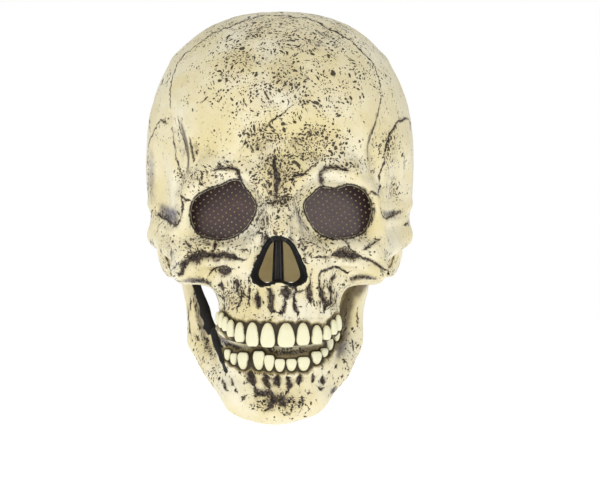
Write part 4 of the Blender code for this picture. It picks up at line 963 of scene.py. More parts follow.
UPPER_TEETH = (
    Tooth(-0.0415, -0.2090, -0.2175, 0.0034),
    Tooth(-0.0390, -0.2092, -0.2200, 0.0036),
    Tooth(-0.0362, -0.2120, -0.2220, 0.0042),
    Tooth(-0.0325, -0.2140, -0.2258, 0.0046),
    Tooth(-0.0264, -0.2155, -0.2292, 0.0062),
    Tooth(-0.0178, -0.2155, -0.2320, 0.0078),
    Tooth(-0.0074, -0.2158, -0.2325, 0.0088),
    Tooth(0.0050, -0.2158, -0.2325, 0.0104),
    Tooth(0.0163, -0.2158, -0.2312, 0.0080),
    Tooth(0.0257, -0.2175, -0.2306, 0.0066),
    Tooth(0.0323, -0.2178, -0.2278, 0.0052),
    Tooth(0.0370, -0.2140, -0.2245, 0.0044),
    Tooth(0.0402, -0.2108, -0.2220, 0.0040),
)
LOWER_TEETH = (
    Tooth(-0.0350, -0.2345, -0.2420, 0.0038),
    Tooth(-0.0305, -0.2370, -0.2450, 0.0044),
    Tooth(-0.0243, -0.2362, -0.2478, 0.0066),
    Tooth(-0.0135, -0.2350, -0.2478, 0.0070),
    Tooth(-0.0064, -0.2376, -0.2485, 0.0062),
    Tooth(0.0007, -0.2402, -0.2490, 0.0062),
    Tooth(0.0085, -0.2402, -0.2485, 0.0062),
    Tooth(0.0168, -0.2390, -0.2485, 0.0074),
    Tooth(0.0254, -0.2356, -0.2445, 0.0064),
    Tooth(0.0308, -0.2336, -0.2398, 0.0046),
    Tooth(0.0345, -0.2270, -0.2358, 0.0044),
    Tooth(0.0393, -0.2222, -0.2297, 0.0040),
)


# %% Sockets and gum arcs
def tooth_gap(points, teeth, root):
    """Distance in the front view to the nearest tooth's rectangle, and how far toward the root side
    of it the point lies, from 0 to 1."""
    middle = np.array([(tooth.top + tooth.bottom) / 2 for tooth in teeth])
    half_height = np.array([(tooth.top - tooth.bottom) / 2 for tooth in teeth])
    width = np.array([tooth.width for tooth in teeth])
    up = points[:, None, 2] - middle
    corner = np.where(root * up > 0, 0.5, 0.3) * width
    across = np.abs(points[:, None, 0] - np.array([tooth.x for tooth in teeth])) - width / 2 + corner
    rise = np.abs(up) - half_height + corner
    gap = np.hypot(np.maximum(across, 0) * 0.75, np.maximum(rise, 0)) - corner
    best = gap.argmin(1)
    row = np.arange(len(points))
    gap = np.where(points[:, 1] < TEETH_BACK, gap[row, best], NO_LINE)
    return gap, np.clip(root * up[row, best] / half_height[best], -1, 1) * 0.5 + 0.5


# %% [markdown]
# ## Skull casting
#
# The skin is a grid of 340 by 230 rays, dense at the face, where its cells are just under a millimetre.
# The painter's values are worked out for each point: where the dark wash and the painted shade lie, how
# many pits there are, how yellow the cream is, which is also painted light as it follows the way the skin
# faces, and where black lies: paint in the nose, paint and painted shadow under the upper lip.

# %% Rays of the skull
SKULL_COLUMNS = 340
SKULL_ROWS = 230


def skull_grid(columns, rows, level, share):
    """Points of the skull skin at a level under it, row by row, and one more point for the pole."""
    turns = np.radians(spread(columns + 1, -68, 68, share, -180, 180)[:-1])
    lifts = np.radians(spread(rows, -50, 28, share, -57, 88.5))[::-1]
    origins, directions = skull_rays(turns, lifts)
    reach = meet(skull_distance, origins, directions, level,
                 np.full(directions.shape[:2], OUTSIDE_SKULL))
    points = (origins + directions * reach[..., None]).reshape(-1, 3)
    points = np.concatenate([points, [points[:columns].mean(0)]])
    column = np.arange(columns)
    fan = np.stack([np.full(columns, len(points) - 1), column, (column + 1) % columns], -1)
    return points, np.concatenate([halves(quads(rows, columns, True)), fan])


skull_points, skull_triangles = skull_grid(SKULL_COLUMNS, SKULL_ROWS, 0.0, 0.74)
skull_normals = slopes(skull_distance, skull_points)
print("skull grid", skull_points.shape, "low", skull_points.min(0), "high", skull_points.max(0))

# %% How charts are laid on a skin
JAW_MARKS_FROM = 362
JAGS = 0.75
SPOTS_APART = 2.5


def on_side(rows):
    """Rows charted in degrees as lines on the skull: the curve runs through unit directions, which
    are met from the middle of the cranium, and cracks get jags of under a millimetre."""
    found = []
    for row in rows:
        turn, rise = np.radians(np.asarray(row.points, float)).T
        ahead = unit(open_curve(directions_of(turn, rise), 14))
        reach = meet(skull_distance, np.asarray(CRANIUM_CENTRE), ahead, 0.0,
                     np.full(len(ahead), OUTSIDE_SKULL))
        line = np.asarray(CRANIUM_CENTRE) + ahead * reach[:, None]
        if isinstance(row, Mark):
            number = np.sin(line @ np.array((12990.0, 78230.0, 37719.0)))
            line[1:-1, 2] += 0.9 * MM * number[1:-1]
            line[1:-1, :2] += 0.6 * MM * np.roll(number, 1)[1:-1, None]
        found.append((row[1], row[2], line))
    return found


def jagged(curve):
    """A crack's line: each point of the curve is moved across by a number from a sine's far digits."""
    number = np.sin(curve @ np.array((12.99, 78.23))) * 43758.5
    number = (number - np.floor(number)) * 2 - 1
    ahead = np.gradient(curve, axis=0)
    across = unit(np.stack([-ahead[:, 1], ahead[:, 0]], -1))
    return curve + across * number[:, None] * JAGS


def laid(rows, distance):
    """The rows of a chart as lines on a skin, with their half widths and depths. Points stand evenly
    in the front view; cracks are jagged, and soft strokes are not."""
    found = []
    for row in rows:
        length = np.linalg.norm(np.diff(np.asarray(row.points, float), axis=0), axis=1).sum()
        steps = max(1, round(length / SPOTS_APART / (len(row.points) - 1)))
        curve = open_curve(row.points, steps)
        curve = jagged(curve) if isinstance(row, Mark) else curve
        found.append((row[1], row[2], on_skin(distance, curve)))
    return found


def dotted(spots):
    """Short strokes of uneven size at spots of the front view."""
    return [Mark("dot", 0.7 + 0.35 * math.sin(7.0 * x), 0.6, ((x - 0.7, y), (x + 0.7, y + 0.8)))
            for x, y in spots]


# %% Marks on the skull
skull_marks = [mark for mark in MARKS if mark.points[0][1] < JAW_MARKS_FROM and "jaw" not in mark.name]
skull_lines = laid(skull_marks, skull_distance) + on_side(SIDE_MARKS)
skull_forms = laid(SKULL_FORMS, skull_distance) + on_side(SIDE_FORMS)
print(len(skull_lines), "marks on the skull")

# %% [markdown]
# ## Stains and painted shade
#
# After the cream coat, the painter brushes a thin dark wash over the casting and wipes it off, so that it
# stays in hollows. Here it is also painted shade: it is darker in hollows 3, 6 and 13 mm across, and a short
# table of soft blobs adds the places where more was left and where shade falls, such as the inner orbits
# and the sides of the nose. A point is hollow where the distance rule grows slower than the step along
# the normal.

# %% Chart of the wash, the painted shade and the pits
# Blobs of wash; on the inner orbits, beside the nose and at the temples they are painted shade.
STAINS_AND_SHADE = (
    Stain("left temple", 172, 214, 16, 12, 0.45),
    Stain("right temple", 392, 214, 12, 8, 0.3),
    Stain("left inner orbit", 257, 212, 8, 20, 0.35),
    Stain("right inner orbit", 301, 214, 8, 20, 0.35),
    Stain("glabella", 277, 180, 24, 30, 0.54),
    Stain("over the glabella", 268, 140, 50, 20, 0.18),
    Stain("over the right brow", 312, 158, 24, 9, 0.32),
    Stain("over the left brow", 232, 162, 20, 8, 0.32),
    Stain("left nose side", 250, 245, 12, 22, 0.35),
    Stain("right nose side", 308, 250, 10, 20, 0.35),
    Stain("forehead middle", 275, 85, 34, 34, 0.10),
    Stain("left upper jaw", 232, 292, 22, 22, 0.28),
    Stain("right upper jaw", 330, 296, 18, 20, 0.38),
    Stain("under the nose", 285, 300, 28, 14, 0.25),
    Stain("left cheek front", 200, 248, 18, 8, 0.15),
)
PITS = (
    Stain("forehead", 285, 88, 80, 46, 0.46),
    Stain("forehead middle", 287, 80, 26, 18, 0.7),
    Stain("forehead left", 236, 66, 34, 24, 0.55),
    Stain("forehead low left", 262, 134, 22, 14, 1.0),
    Stain("forehead low right", 316, 138, 26, 14, 0.95),
    Stain("over the right brow", 318, 150, 40, 14, 0.6),
    Stain("between the brows", 277, 180, 26, 34, 1.0),
    Stain("nose bridge", 276, 220, 22, 20, 0.62),
    Stain("left cheek", 205, 246, 34, 14, 0.42),
    Stain("right cheek", 318, 246, 22, 16, 0.75),
    Stain("left brow", 200, 176, 24, 10, 0.7),
    Stain("right brow", 350, 165, 26, 10, 0.65),
    Stain("right temple", 390, 152, 9, 22, 0.6),
    Stain("right temple low", 390, 186, 9, 14, 0.6),
    Stain("crown", 280, 35, 110, 26, 0.5),
    Stain("left upper jaw", 232, 300, 24, 14, 0.6),
    Stain("right upper jaw", 326, 300, 16, 18, 0.5),
)
# The gum flange under the upper teeth is darkened as painted shadow.
JAW_STAINS_AND_SHADE = (Stain("gum flange", 275, 352, 70, 9, 0.6),)
JAW_PITS = (
    Stain("chin", 276, 404, 36, 10, 0.5),
    Stain("left side", 205, 370, 26, 40, 0.34),
    Stain("right side", 350, 370, 20, 40, 0.34),
)


def blobs(view, table):
    """The highest of the blobs: strength times a bell curve of the scaled distance in the view."""
    found = np.zeros(len(view))
    for row in table:
        scaled = ((view[:, 0] - row.x) / row.across) ** 2 + ((view[:, 1] - row.z) / row.up) ** 2
        found = np.maximum(found, row.strength * np.exp(-scaled**1.5))
    return found


def hollow(distance, points, normals, step):
    """One where the skin is hollow over the step, nought where it is flat: the part of the step that
    the distance falls short of."""
    return np.clip((step - distance(points + normals * step)) / step * 1.6, 0, 1)


def painted(distance, points, normals, stains_and_shade, pits, strokes, relief, amount):
    """Wash, pits and tone of each point. Only what faces the front takes the charted blobs. Wash also
    stays in hollows, by the given amount, on the strokes and in low relief, and is wiped off what
    stands up; in the hollows, the blobs and the strokes it is partly painted shade. The tone is high
    where the skin faces the front, which is painted light."""
    view = front_view(points)
    facing = np.clip(0.25 - normals[:, 1] * 1.5, 0, 1)
    wash_and_shade = blobs(view, stains_and_shade) * facing
    # Darker in hollows 3, 6 and 13 mm across and in low relief: the wash left in the hollows, and painted
    # shade.
    for step, strength in ((3 * MM, 0.5), (6 * MM, 0.6), (13 * MM, 0.45)):
        wash_and_shade = np.maximum(wash_and_shade, amount * strength * hollow(distance, points, normals, step))
    wash_and_shade = wash_and_shade + 0.26 * np.clip(-relief / (2 * MM), 0, 1) - 0.35 * np.clip(relief / (1.6 * MM), 0, 1)
    cloud = 0.17 * waves(points, 11 * MM, 3) + 0.12 * waves(points, 4 * MM, 4)
    wash_and_shade = np.maximum(wash_and_shade, strokes) + (0.5 + 0.5 * amount) * cloud
    spots = blobs(view, pits) * facing + 0.05 + 0.15 * amount + 0.22 * waves(points, 17 * MM, 5)
    spots = spots + 0.20 * waves(points, 7 * MM, 7)
    # Yellower where the skin faces the front, paler and cooler to the sides: painted light, with noise for
    # uneven tone.
    tone_and_facing_light = np.clip(-0.1 - normals[:, 1] * 1.15, 0, 1) + 0.35 * waves(points, 34 * MM, 6)
    return np.clip(wash_and_shade, 0, 1), np.clip(spots, 0, 1), np.clip(tone_and_facing_light, 0, 1)


# %% Values of the skull skin
side, near, wide, sink, smear = chart(skull_points, skull_normals, skull_lines)
forms = formed(skull_points, skull_forms)
swell = (0.30 * waves(skull_points, 26 * MM, 1) + 0.24 * waves(skull_points, 11 * MM, 2)
         + 0.12 * waves(skull_points, 5 * MM, 8)) * MM
# Wash strokes, partly painted shade, and the halos of the cracks.
strokes = soft_strokes(skull_points, laid(SKULL_WASH_AND_SHADE, skull_distance) + on_side(SIDE_WASH))
strokes = np.maximum(0.8 * smear, strokes)
over_rim = skull_points[:, 2] - rim_height(skull_points[:, 1])
rim_wash = 0.5 * bell(np.maximum(over_rim, 0) / (9 * MM)) * (skull_points[:, 1] > NECK_RIM_FROM)
strokes = np.maximum(strokes, rim_wash * (0.8 + 0.5 * waves(skull_points, 9 * MM, 45)))
# Smooth painted shade.
shade = soft_strokes(skull_points, laid(SKULL_SHADE, skull_distance))
wash_and_shade, pits, tone_and_facing_light = painted(skull_distance, skull_points, skull_normals, STAINS_AND_SHADE, PITS, strokes,
                           forms + swell, 1.0)
gap, rootward = tooth_gap(skull_points, UPPER_TEETH, 1.0)
gum = bell(np.maximum(gap, 0) / GUM_WIDTH)
arc = bell((gap - 2.6 * MM) / MM) * rootward
lift = swell + sink + forms + 0.55 * MM * arc - 0.8 * MM * gum
nose_gap = outline_distance(spline(NOSE, 14), skull_points[:, [0, 2]])
ragged = 1.3 * MM + 0.7 * MM * waves(skull_points, 2.6 * MM, 41) + 0.5 * MM * (skull_points[:, 0] < 0)
nose_black_and_lip_shadow = np.clip((ragged - nose_gap) / (0.5 * MM), 0, 1) * (skull_points[:, 1] < NOSE_BACK)
# Under the upper lip, along the front of the lower rim, half black: black paint and painted shadow.
lip = np.clip((2.3 * MM + 0.8 * MM * waves(skull_points, 4 * MM, 43) - over_rim) / (1.2 * MM), 0, 1)
nose_black_and_lip_shadow = np.maximum(nose_black_and_lip_shadow, 0.5 * lip * (skull_points[:, 1] < LIP_BACK))
skull_skin = Skin({
    "place": skull_points + skull_normals * lift[:, None], "normal": skull_normals,
    "side": side, "near": near, "wide": wide, "wash_and_shade": wash_and_shade, "pits": pits, "tone_and_facing_light": tone_and_facing_light,
    "gum": gum, "black_paint_and_shadow": nose_black_and_lip_shadow, "shade": shade,
    "height": skull_points[:, 2], "depth": skull_points[:, 1],
}, skull_triangles)
print("wash_and_shade", wash_and_shade.mean(), "pits", pits.mean())

# %% [markdown]
# ## Rolled rims
#
# Latex is poured into the mould and builds up a lip at each opening. At the eyes the wall turns in and
# runs back to the screen. The cut edge is therefore carried along a curve: first round a corner, then
# straight back, then out behind and forward again into the wall, so that the rim is closed.

# %% Cut the eyes and the nose and roll their rims
EYE_PLANE_X = 0.0375
EYE_PLANE_Y = -0.0835
EYE_PLANE_SLOPE = 0.40
NOSE_COLLAR_BACK_Y = -0.0915
EYE_MARGIN = 2.0 * MM
NOSE_MARGIN = 1.2 * MM
COLLAR_WALL = 1.6 * MM
UNCUT = 10 * MM
NOSE_LEAN = np.array((0.22, 0.10))
# Black paint and wash on each ring, from the face inwards; on the eye rings they are also painted shadow
# inside the collar.
EYE_RING_PAINT_AND_SHADOW = ((0.0, 0.7), (0.25, 1.0), (0.3, 1.0), (0.1, 0.5), (0.1, 0.4), (0.45, 1.0), (0.9, 1.0),
              (1.0, 1.0), (1.0, 1.0), (0.7, 1.0), (0.0, 0.0), (0.0, 0.0))
NOSE_SHADES = ((1.0, 0.0),) * 10 + ((0.0, 0.0),) * 2
COLLAR_BACK = 10


def eye_plane(flat):
    """Depth of the plane on which an eye screen lies: further back to the sides."""
    return EYE_PLANE_Y + EYE_PLANE_SLOPE * (np.abs(flat[:, 0]) - EYE_PLANE_X)


def nose_plane(flat):
    """The nose collar ends at one depth."""
    return np.full(len(flat), NOSE_COLLAR_BACK_Y)


def opening_rings(skin, outline, plane, margin, lean):
    """Rings of an opening: a quadratic curve round the corner, the straight wall, and the way back
    outside it, all from the cut edge, the nearest spot of the outline, and the plane behind, where
    the wall has leant in by a share of the way to the middle."""
    def rings(places, own):
        normals = skin.values[own, 3:6]
        flat = places[:, [0, 2]]
        step = 0.1 * MM
        gradient = np.stack([
            outline_distance(outline, flat + (step, 0)) - outline_distance(outline, flat - (step, 0)),
            outline_distance(outline, flat + (0, step)) - outline_distance(outline, flat - (0, step)),
        ], -1) / (2 * step)
        gradient = unit(gradient)
        hole = flat - gradient * outline_distance(outline, flat)[:, None]
        inward = np.stack([-gradient[:, 0], np.zeros(len(flat)), -gradient[:, 1]], -1)
        inward = unit(along_skin(inward, normals), 0.35)
        corner = np.stack([hole[:, 0], places[:, 1] + inward[:, 1] * margin, hole[:, 1]], -1)
        narrow = hole + (outline.mean(0) - hole) * lean
        end = np.stack([narrow[:, 0], plane(hole), narrow[:, 1]], -1)
        fall = end - corner
        length = np.linalg.norm(fall, axis=1, keepdims=True)
        knee = corner + fall * np.minimum(1, 2 * MM / np.maximum(length, 1e-9))
        for share in (0.17, 0.34, 0.5, 0.67, 0.84, 1.0):
            yield (1 - share) ** 2 * places + 2 * share * (1 - share) * corner + share**2 * knee
        bend = np.stack([narrow[:, 0], knee[:, 1] + (end - knee)[:, 1] * 0.3, narrow[:, 1]], -1)
        yield (knee + bend) / 2
        yield bend
        yield (bend + end) / 2
        yield end
        out = np.stack([gradient[:, 0], np.zeros(len(flat)), gradient[:, 1]], -1)
        yield end + out * COLLAR_WALL
        yield places - normals * WALL * 0.5 + out * 1.0 * MM
    return rings


for name, rows, plane, shades, margin, lean in (
        ("left eye", EYE_LEFT, eye_plane, EYE_RING_PAINT_AND_SHADOW, EYE_MARGIN, 0.0),
        ("right eye", EYE_RIGHT, eye_plane, EYE_RING_PAINT_AND_SHADOW, EYE_MARGIN, 0.0),
        ("nose", NOSE, nose_plane, NOSE_SHADES, NOSE_MARGIN, NOSE_LEAN)):
    outline = spline(rows, 14)
    flat = skull_skin.get("place")[:, [0, 2]]
    level = outline_distance(outline, flat) - margin
    level = np.where(skull_skin.get("depth") < FACE_BACK, level, UNCUT)
    edges = skull_skin.cut(level)
    steps = [{"black_paint_and_shadow": black, "wash_and_shade": wet, "side": NO_LINE, "near": NO_LINE} for black, wet in shades]
    steps[COLLAR_BACK] = {"black_paint_and_shadow": 0.0}
    skull_skin.extrude(edges, opening_rings(skull_skin, outline, plane, margin, lean), steps)
    print(name, "opening:", len(edges), "edges")

# %% Cut the lower rim and roll it
RIM_RADIUS = 0.9 * MM


def rim_slope(y):
    """How much the rim rises over the depth."""
    return (rim_height(y + 0.3 * MM) - rim_height(y - 0.3 * MM)) / (0.6 * MM)


def rim_rings(skin):
    """Half a circle from the outer to the inner side, round a middle one radius under the skin."""
    def rings(places, own):
        normals = skin.values[own, 3:6]
        slope = rim_slope(places[:, 1])
        down = np.stack([np.zeros(len(slope)), slope, -np.ones(len(slope))], -1)
        down = unit(along_skin(down, normals), 0.2)
        for turn in np.radians((30, 60, 90, 120, 150, 180)):
            yield (places + down * RIM_RADIUS * math.sin(turn)
                   - normals * RIM_RADIUS * (1 - math.cos(turn)))
    return rings


depth = skull_skin.get("depth")
level = (skull_skin.get("height") - rim_height(depth)) / np.sqrt(1 + rim_slope(depth) ** 2) - RIM_RADIUS
edges = skull_skin.cut(level)
skull_skin.extrude(edges, rim_rings(skull_skin), [{"wash_and_shade": 0.05}] * 6)
VALUES = ("side", "near", "wide", "wash_and_shade", "pits", "tone_and_facing_light", "gum", "black_paint_and_shadow", "shade")
skull_piece = skull_skin.piece("skull_skin", VALUES)

# %% [markdown]
# ## Inside of the skull casting
#
# Inside, the latex is as it dried: smooth, matt and the colour of natural rubber. It is a second, coarser
# grid of the same rays, met one wall deeper. Its edges end within the rims, where nobody sees them.

# %% Inner skin
INNER_GRID = (150, 110)
over_points, _ = skull_grid(*INNER_GRID, 0.0, 0.66)
over_normals = slopes(skull_distance, over_points)
over_lift = (formed(over_points, skull_forms)
             + chart(over_points, over_normals, skull_lines)[3] - 0.8 * MM)
inner_points, inner_triangles = skull_grid(*INNER_GRID, -WALL, 0.66)
inner_normals = slopes(skull_distance, inner_points)
inner_skin = Skin({"place": inner_points + inner_normals * np.minimum(over_lift, 0)[:, None]},
                  inner_triangles[:, ::-1])
for rows in (EYE_LEFT, EYE_RIGHT, NOSE):
    place = inner_skin.get("place")
    level = outline_distance(spline(rows, 14), place[:, [0, 2]]) - 1.0 * MM
    inner_skin.cut(np.where(place[:, 1] < FACE_BACK, level, UNCUT))
place = inner_skin.get("place")
inner_skin.cut(place[:, 2] - rim_height(place[:, 1]) - 0.5 * MM)
inner_piece = inner_skin.piece("skull_inside", ())


# %% [markdown]
# ## Rows of teeth
#
# Each tooth stands on the skin where the middle of its place meets it, and turns with the arch.

# %% Teeth as rounded blocks
TOOTH_TURNS = 28
TOOTH_LIFTS = 17


def tooth_block(tooth, distance, raised, root, taper):
    """Superellipsoid: cosines and sines of turn and lift to powers under one, so that it is boxy. It
    narrows a little to the root, and leans with the slope of the skin across it."""
    middle = (tooth.top + tooth.bottom) / 2
    half_height = (tooth.top - tooth.bottom) / 2
    probe = np.array([(tooth.x + shift, 0.02, middle) for shift in (0, -2 * MM, 2 * MM)])
    ahead = np.broadcast_to((0.0, -1.0, 0.0), probe.shape)
    skin = 0.02 - meet(distance, probe, ahead, 0.0, np.full(3, 0.16))
    slope = float(np.clip((skin[2] - skin[1]) / (4 * MM), -1.1, 1.1))
    across = np.array((1.0, slope, 0.0)) / math.hypot(1.0, slope)
    out = np.array((slope, -1.0, 0.0)) / math.hypot(1.0, slope)
    half_width = tooth.width / 2 * math.hypot(1.0, slope * 0.8)
    centre = np.array((tooth.x, skin[0], middle)) - out * 0.3 * MM
    lift = np.radians(np.linspace(-90, 90, TOOTH_LIFTS))[:, None]
    turn = (np.arange(TOOTH_TURNS) / TOOTH_TURNS * 2 * math.pi)[None, :]
    flat = np.abs(np.cos(lift)) ** np.where(root * lift > 0, 0.85, 0.45)
    beside = np.sign(np.cos(turn)) * np.abs(np.cos(turn)) ** 0.75
    fore = np.sign(np.sin(turn)) * np.abs(np.sin(turn)) ** 0.75
    rise = np.sign(np.sin(lift)) * np.abs(np.sin(lift)) ** 0.8
    narrow = 1 + taper * (0.25 - np.clip(root * rise, -0.3, 1))
    reach = np.where(fore > 0, raised + 0.3 * MM, 1.2 * MM)
    place = (centre + across * (half_width * flat * beside * narrow)[..., None]
             + out * (reach * flat * fore)[..., None])
    place[..., 2] += half_height * rise
    place += out * (0.12 * MM * waves(place, 3 * MM, 9))[..., None]
    edge = np.maximum(np.abs(beside * flat) ** 3, np.abs(rise + 0 * turn) ** 5)
    rootward = np.clip(root * (rise + 0 * turn), 0, 1)
    return place.reshape(-1, 3), edge.reshape(-1), rootward.reshape(-1)


def tooth_row(name, teeth, distance, raised, root, taper):
    """All teeth of one row in one mesh; the poles' loops are closed by fans of zero width."""
    parts = [tooth_block(tooth, distance, raised, root, taper) for tooth in teeth]
    each = TOOTH_TURNS * TOOTH_LIFTS
    cells = quads(TOOTH_LIFTS, TOOTH_TURNS, True)[:, ::-1]
    faces = np.concatenate([cells + each * index for index in range(len(parts))])
    made = new_piece(name, np.concatenate([part[0] for part in parts]), faces)
    store(made, "edge", np.concatenate([part[1] for part in parts]))
    store(made, "root", np.concatenate([part[2] for part in parts]))
    return made


upper_teeth = tooth_row("upper_teeth", UPPER_TEETH, skull_distance, 2.0 * MM, 1.0, 0.34)
lower_teeth = tooth_row("lower_teeth", LOWER_TEETH, jaw_distance, 1.8 * MM, -1.0, 0.34)

# %% [markdown]
# ## Nose bar
#
# A bar with two ridges and a flute between them runs down the middle of the nose opening and is painted
# black with it. Its section is a short profile carried along a straight path that widens to the foot.

# %% Nose bar
BAR_TOP = np.array((-0.0004, -0.1035, -0.1578))
BAR_FOOT = np.array((-0.0006, -0.1000, -0.1935))
BAR_HALF = (0.0030, 0.0045)
BAR_DEPTH = 0.0050


def nose_bar(rows, columns):
    """Front: two cosine ridges between the sides. Back: flat. The half width grows along the path."""
    share = np.linspace(0, 1, rows)[:, None, None]
    across = np.linspace(-1, 1, columns)
    front = 0.55 - 0.95 * np.cos(across * math.pi / 2) ** 0.6 + 0.42 * bell(across / 0.3)
    section = np.concatenate([np.stack([across, front], -1), np.stack([across, np.ones(columns)], -1)[::-1]])
    path = BAR_TOP * (1 - share) + BAR_FOOT * share
    half = BAR_HALF[0] + (BAR_HALF[1] - BAR_HALF[0]) * share[..., 0]
    points = np.zeros((rows, len(section), 3)) + path
    points[..., 0] += half * section[:, 0]
    points[..., 1] += BAR_DEPTH * section[:, 1]
    return new_piece("nose_bar", points.reshape(-1, 3), quads(rows, len(section), True)[:, ::-1])


bar_piece = nose_bar(24, 20)

# %% [markdown]
# ## Jaw casting
#
# The jaw is a loose sheet that hangs in front of the neck. It is one grid of rays whose upper and lower
# ends follow a table of angles. Where the skull casting covers it, it stays inside that casting. Its
# inner side is the same grid one wall deeper, and the two are joined by a round edge.

# %% Rays of the jaw
JawColumn = namedtuple("JawColumn", "turn left_top right_top bottom")
FLANGE_GAP = 0.8 * MM
JAW_COLUMNS = (
    JawColumn(0, -1.0, -1.0, -42.0),
    JawColumn(15, -1.0, -1.0, -41.0),
    JawColumn(25, 0.5, 0.5, -39.0),
    JawColumn(30, 0.5, 3.0, -37.0),
    JawColumn(34, 1.5, 9.0, -35.5),
    JawColumn(39, -0.5, 16.0, -33.0),
    JawColumn(42, 3.0, 21.5, -31.2),
    JawColumn(44, 8.0, 24.0, -30.0),
    JawColumn(46.5, 15.5, 29.0, -28.0),
    JawColumn(48, 21.0, 32.0, -26.8),
    JawColumn(49.5, 24.5, 35.0, -25.7),
    JawColumn(51, 35.0, 37.0, -24.6),
    JawColumn(53, 41.0, 40.0, -23.0),
    JawColumn(56, 43.0, 43.0, -20.5),
    JawColumn(62, 44.0, 44.0, -15.5),
    JawColumn(69, 44.0, 44.0, -11.5),
    JawColumn(76, 44.0, 44.0, -8.0),
)
JAW_GRID = (130, 250)
JAW_MISSED = 45 * MM
WEB_ROUNDS = 150
CALM_ROUNDS = 70
CORNER_PUSH = 3.0 * MM


def webbed(reach):
    """A ray that misses the bones takes the mean of its neighbours, which spans the gap with a taut
    web. The first guess is a straight line along the row."""
    missed = reach < JAW_MISSED
    for row, empty in zip(reach, missed):
        row[empty] = np.interp(np.nonzero(empty)[0], np.nonzero(~empty)[0], row[~empty])
    for _ in range(WEB_ROUNDS):
        spot = np.pad(reach, 1, mode="edge")
        means = (spot[:-2, 1:-1] + spot[2:, 1:-1] + spot[1:-1, :-2] + spot[1:-1, 2:]) / 4
        reach = np.where(missed, means, reach)
    return reach


def calmed(reach, share, turns):
    """The lower part and the back edges are eased toward means of one, two and one both ways."""
    calm = reach.copy()
    for _ in range(CALM_ROUNDS):
        calm[:, 1:-1] = (calm[:, :-2] + 2 * calm[:, 1:-1] + calm[:, 2:]) / 4
        calm[1:-1] = (calm[:-2] + 2 * calm[1:-1] + calm[2:]) / 4
    low = np.clip((share - 0.62) / 0.25, 0, 1)
    beside = np.clip((np.abs(turns) - 46) / 10, 0, 1)[None, :] * np.clip((share - 0.25) / 0.2, 0, 1)
    return reach + (calm - reach) * np.maximum(ease(low), beside)


def jaw_grid(rows, columns):
    """Points of the jaw skin. The reach is the lower of the jaw's own and of the skull's inner side
    less a gap, and it may not jump by more than a share from row to row. The lower left corner is
    pushed in."""
    turns = spread(columns, -60, 60, 0.88, -76, 76)
    names = [column.turn for column in JAW_COLUMNS]
    left_tops = np.interp(-turns, names, [column.left_top for column in JAW_COLUMNS])
    right_tops = np.interp(turns, names, [column.right_top for column in JAW_COLUMNS])
    tops = np.where(turns < 0, left_tops, right_tops)
    bottoms = np.interp(np.abs(turns), names, [column.bottom for column in JAW_COLUMNS])
    share = np.linspace(0, 1, rows)[:, None]
    directions = directions_of(np.radians(turns)[None, :], np.radians(tops + (bottoms - tops) * share))
    far = np.full(directions.shape[:2], OUTSIDE_JAW)
    reach = webbed(meet(jaw_distance, np.asarray(JAW_CENTRE), directions, 0.0, far))
    limit = meet(skull_distance, np.asarray(JAW_CENTRE), directions, -(WALL + FLANGE_GAP), far)
    limit = np.where(limit < 0.03, 0.2, limit)
    points = np.asarray(JAW_CENTRE) + directions * reach[..., None]
    covered = np.clip((points[..., 2] - rim_height(points[..., 1])) / (4 * MM) + 1.0, 0, 1)
    reach = np.minimum(reach, limit + (1 - covered) * 0.15)
    fall = 12.0 / (rows - 1)
    for row in range(rows // 2, rows):
        reach[row] = np.maximum(reach[row], reach[row - 1] - 6 * MM * fall)
    for row in range(rows // 2, -1, -1):
        reach[row] = np.maximum(reach[row], reach[row + 1] - 10 * MM * fall)
    points = np.asarray(JAW_CENTRE) + directions * calmed(reach, share, turns)[..., None]
    push = np.clip((-0.232 - points[..., 2]) / 0.022, 0, 1)
    push = push * np.clip((-points[..., 0] - 0.034) / 0.018, 0, 1)
    points[..., 0] += CORNER_PUSH * push
    return points


def grid_normals(points):
    """Unit cross product of the steps down the rows and along the columns."""
    found = np.cross(np.gradient(points, axis=0), np.gradient(points, axis=1))
    return unit(found, 1e-12)


jaw_base = jaw_grid(*JAW_GRID)
jaw_normals = grid_normals(jaw_base)
print("jaw faces outward:", (jaw_normals * (jaw_base - JAW_CENTRE)).sum(-1).mean() > 0)

# %% Values of the jaw skin
jaw_marks = [mark for mark in MARKS if mark.points[0][1] >= JAW_MARKS_FROM or "jaw" in mark.name]
jaw_lines = laid(jaw_marks + dotted(DOTS), jaw_distance)
flat_points = jaw_base.reshape(-1, 3)
flat_normals = jaw_normals.reshape(-1, 3)
jaw_side, jaw_near, jaw_wide, jaw_sink, jaw_smear = chart(flat_points, flat_normals, jaw_lines)
jaw_forms = formed(flat_points, laid(JAW_FORMS, jaw_distance))
jaw_swell = (0.24 * waves(flat_points, 22 * MM, 11) + 0.18 * waves(flat_points, 9 * MM, 12)
             + 0.12 * waves(flat_points, 5 * MM, 13)) * MM
strokes = np.maximum(0.8 * jaw_smear, soft_strokes(flat_points, laid(JAW_WASH_AND_SHADE, jaw_distance)))
jaw_wash_and_shade, jaw_pits, jaw_tone_and_facing_light = painted(jaw_distance, flat_points, flat_normals, JAW_STAINS_AND_SHADE, JAW_PITS,
                                       strokes, jaw_forms + jaw_swell, 0.4)
gap, rootward = tooth_gap(flat_points, LOWER_TEETH, -1.0)
jaw_gum = bell(np.maximum(gap, 0) / GUM_WIDTH)
jaw_arc = bell((gap - 2.4 * MM) / MM) * rootward
row, column = np.meshgrid(np.arange(JAW_GRID[0]), np.arange(JAW_GRID[1]), indexing="ij")
edge = np.minimum(np.minimum(row, JAW_GRID[0] - 1 - row), np.minimum(column, JAW_GRID[1] - 1 - column))
calm = np.clip(edge.reshape(-1) / 9.0, 0, 1)
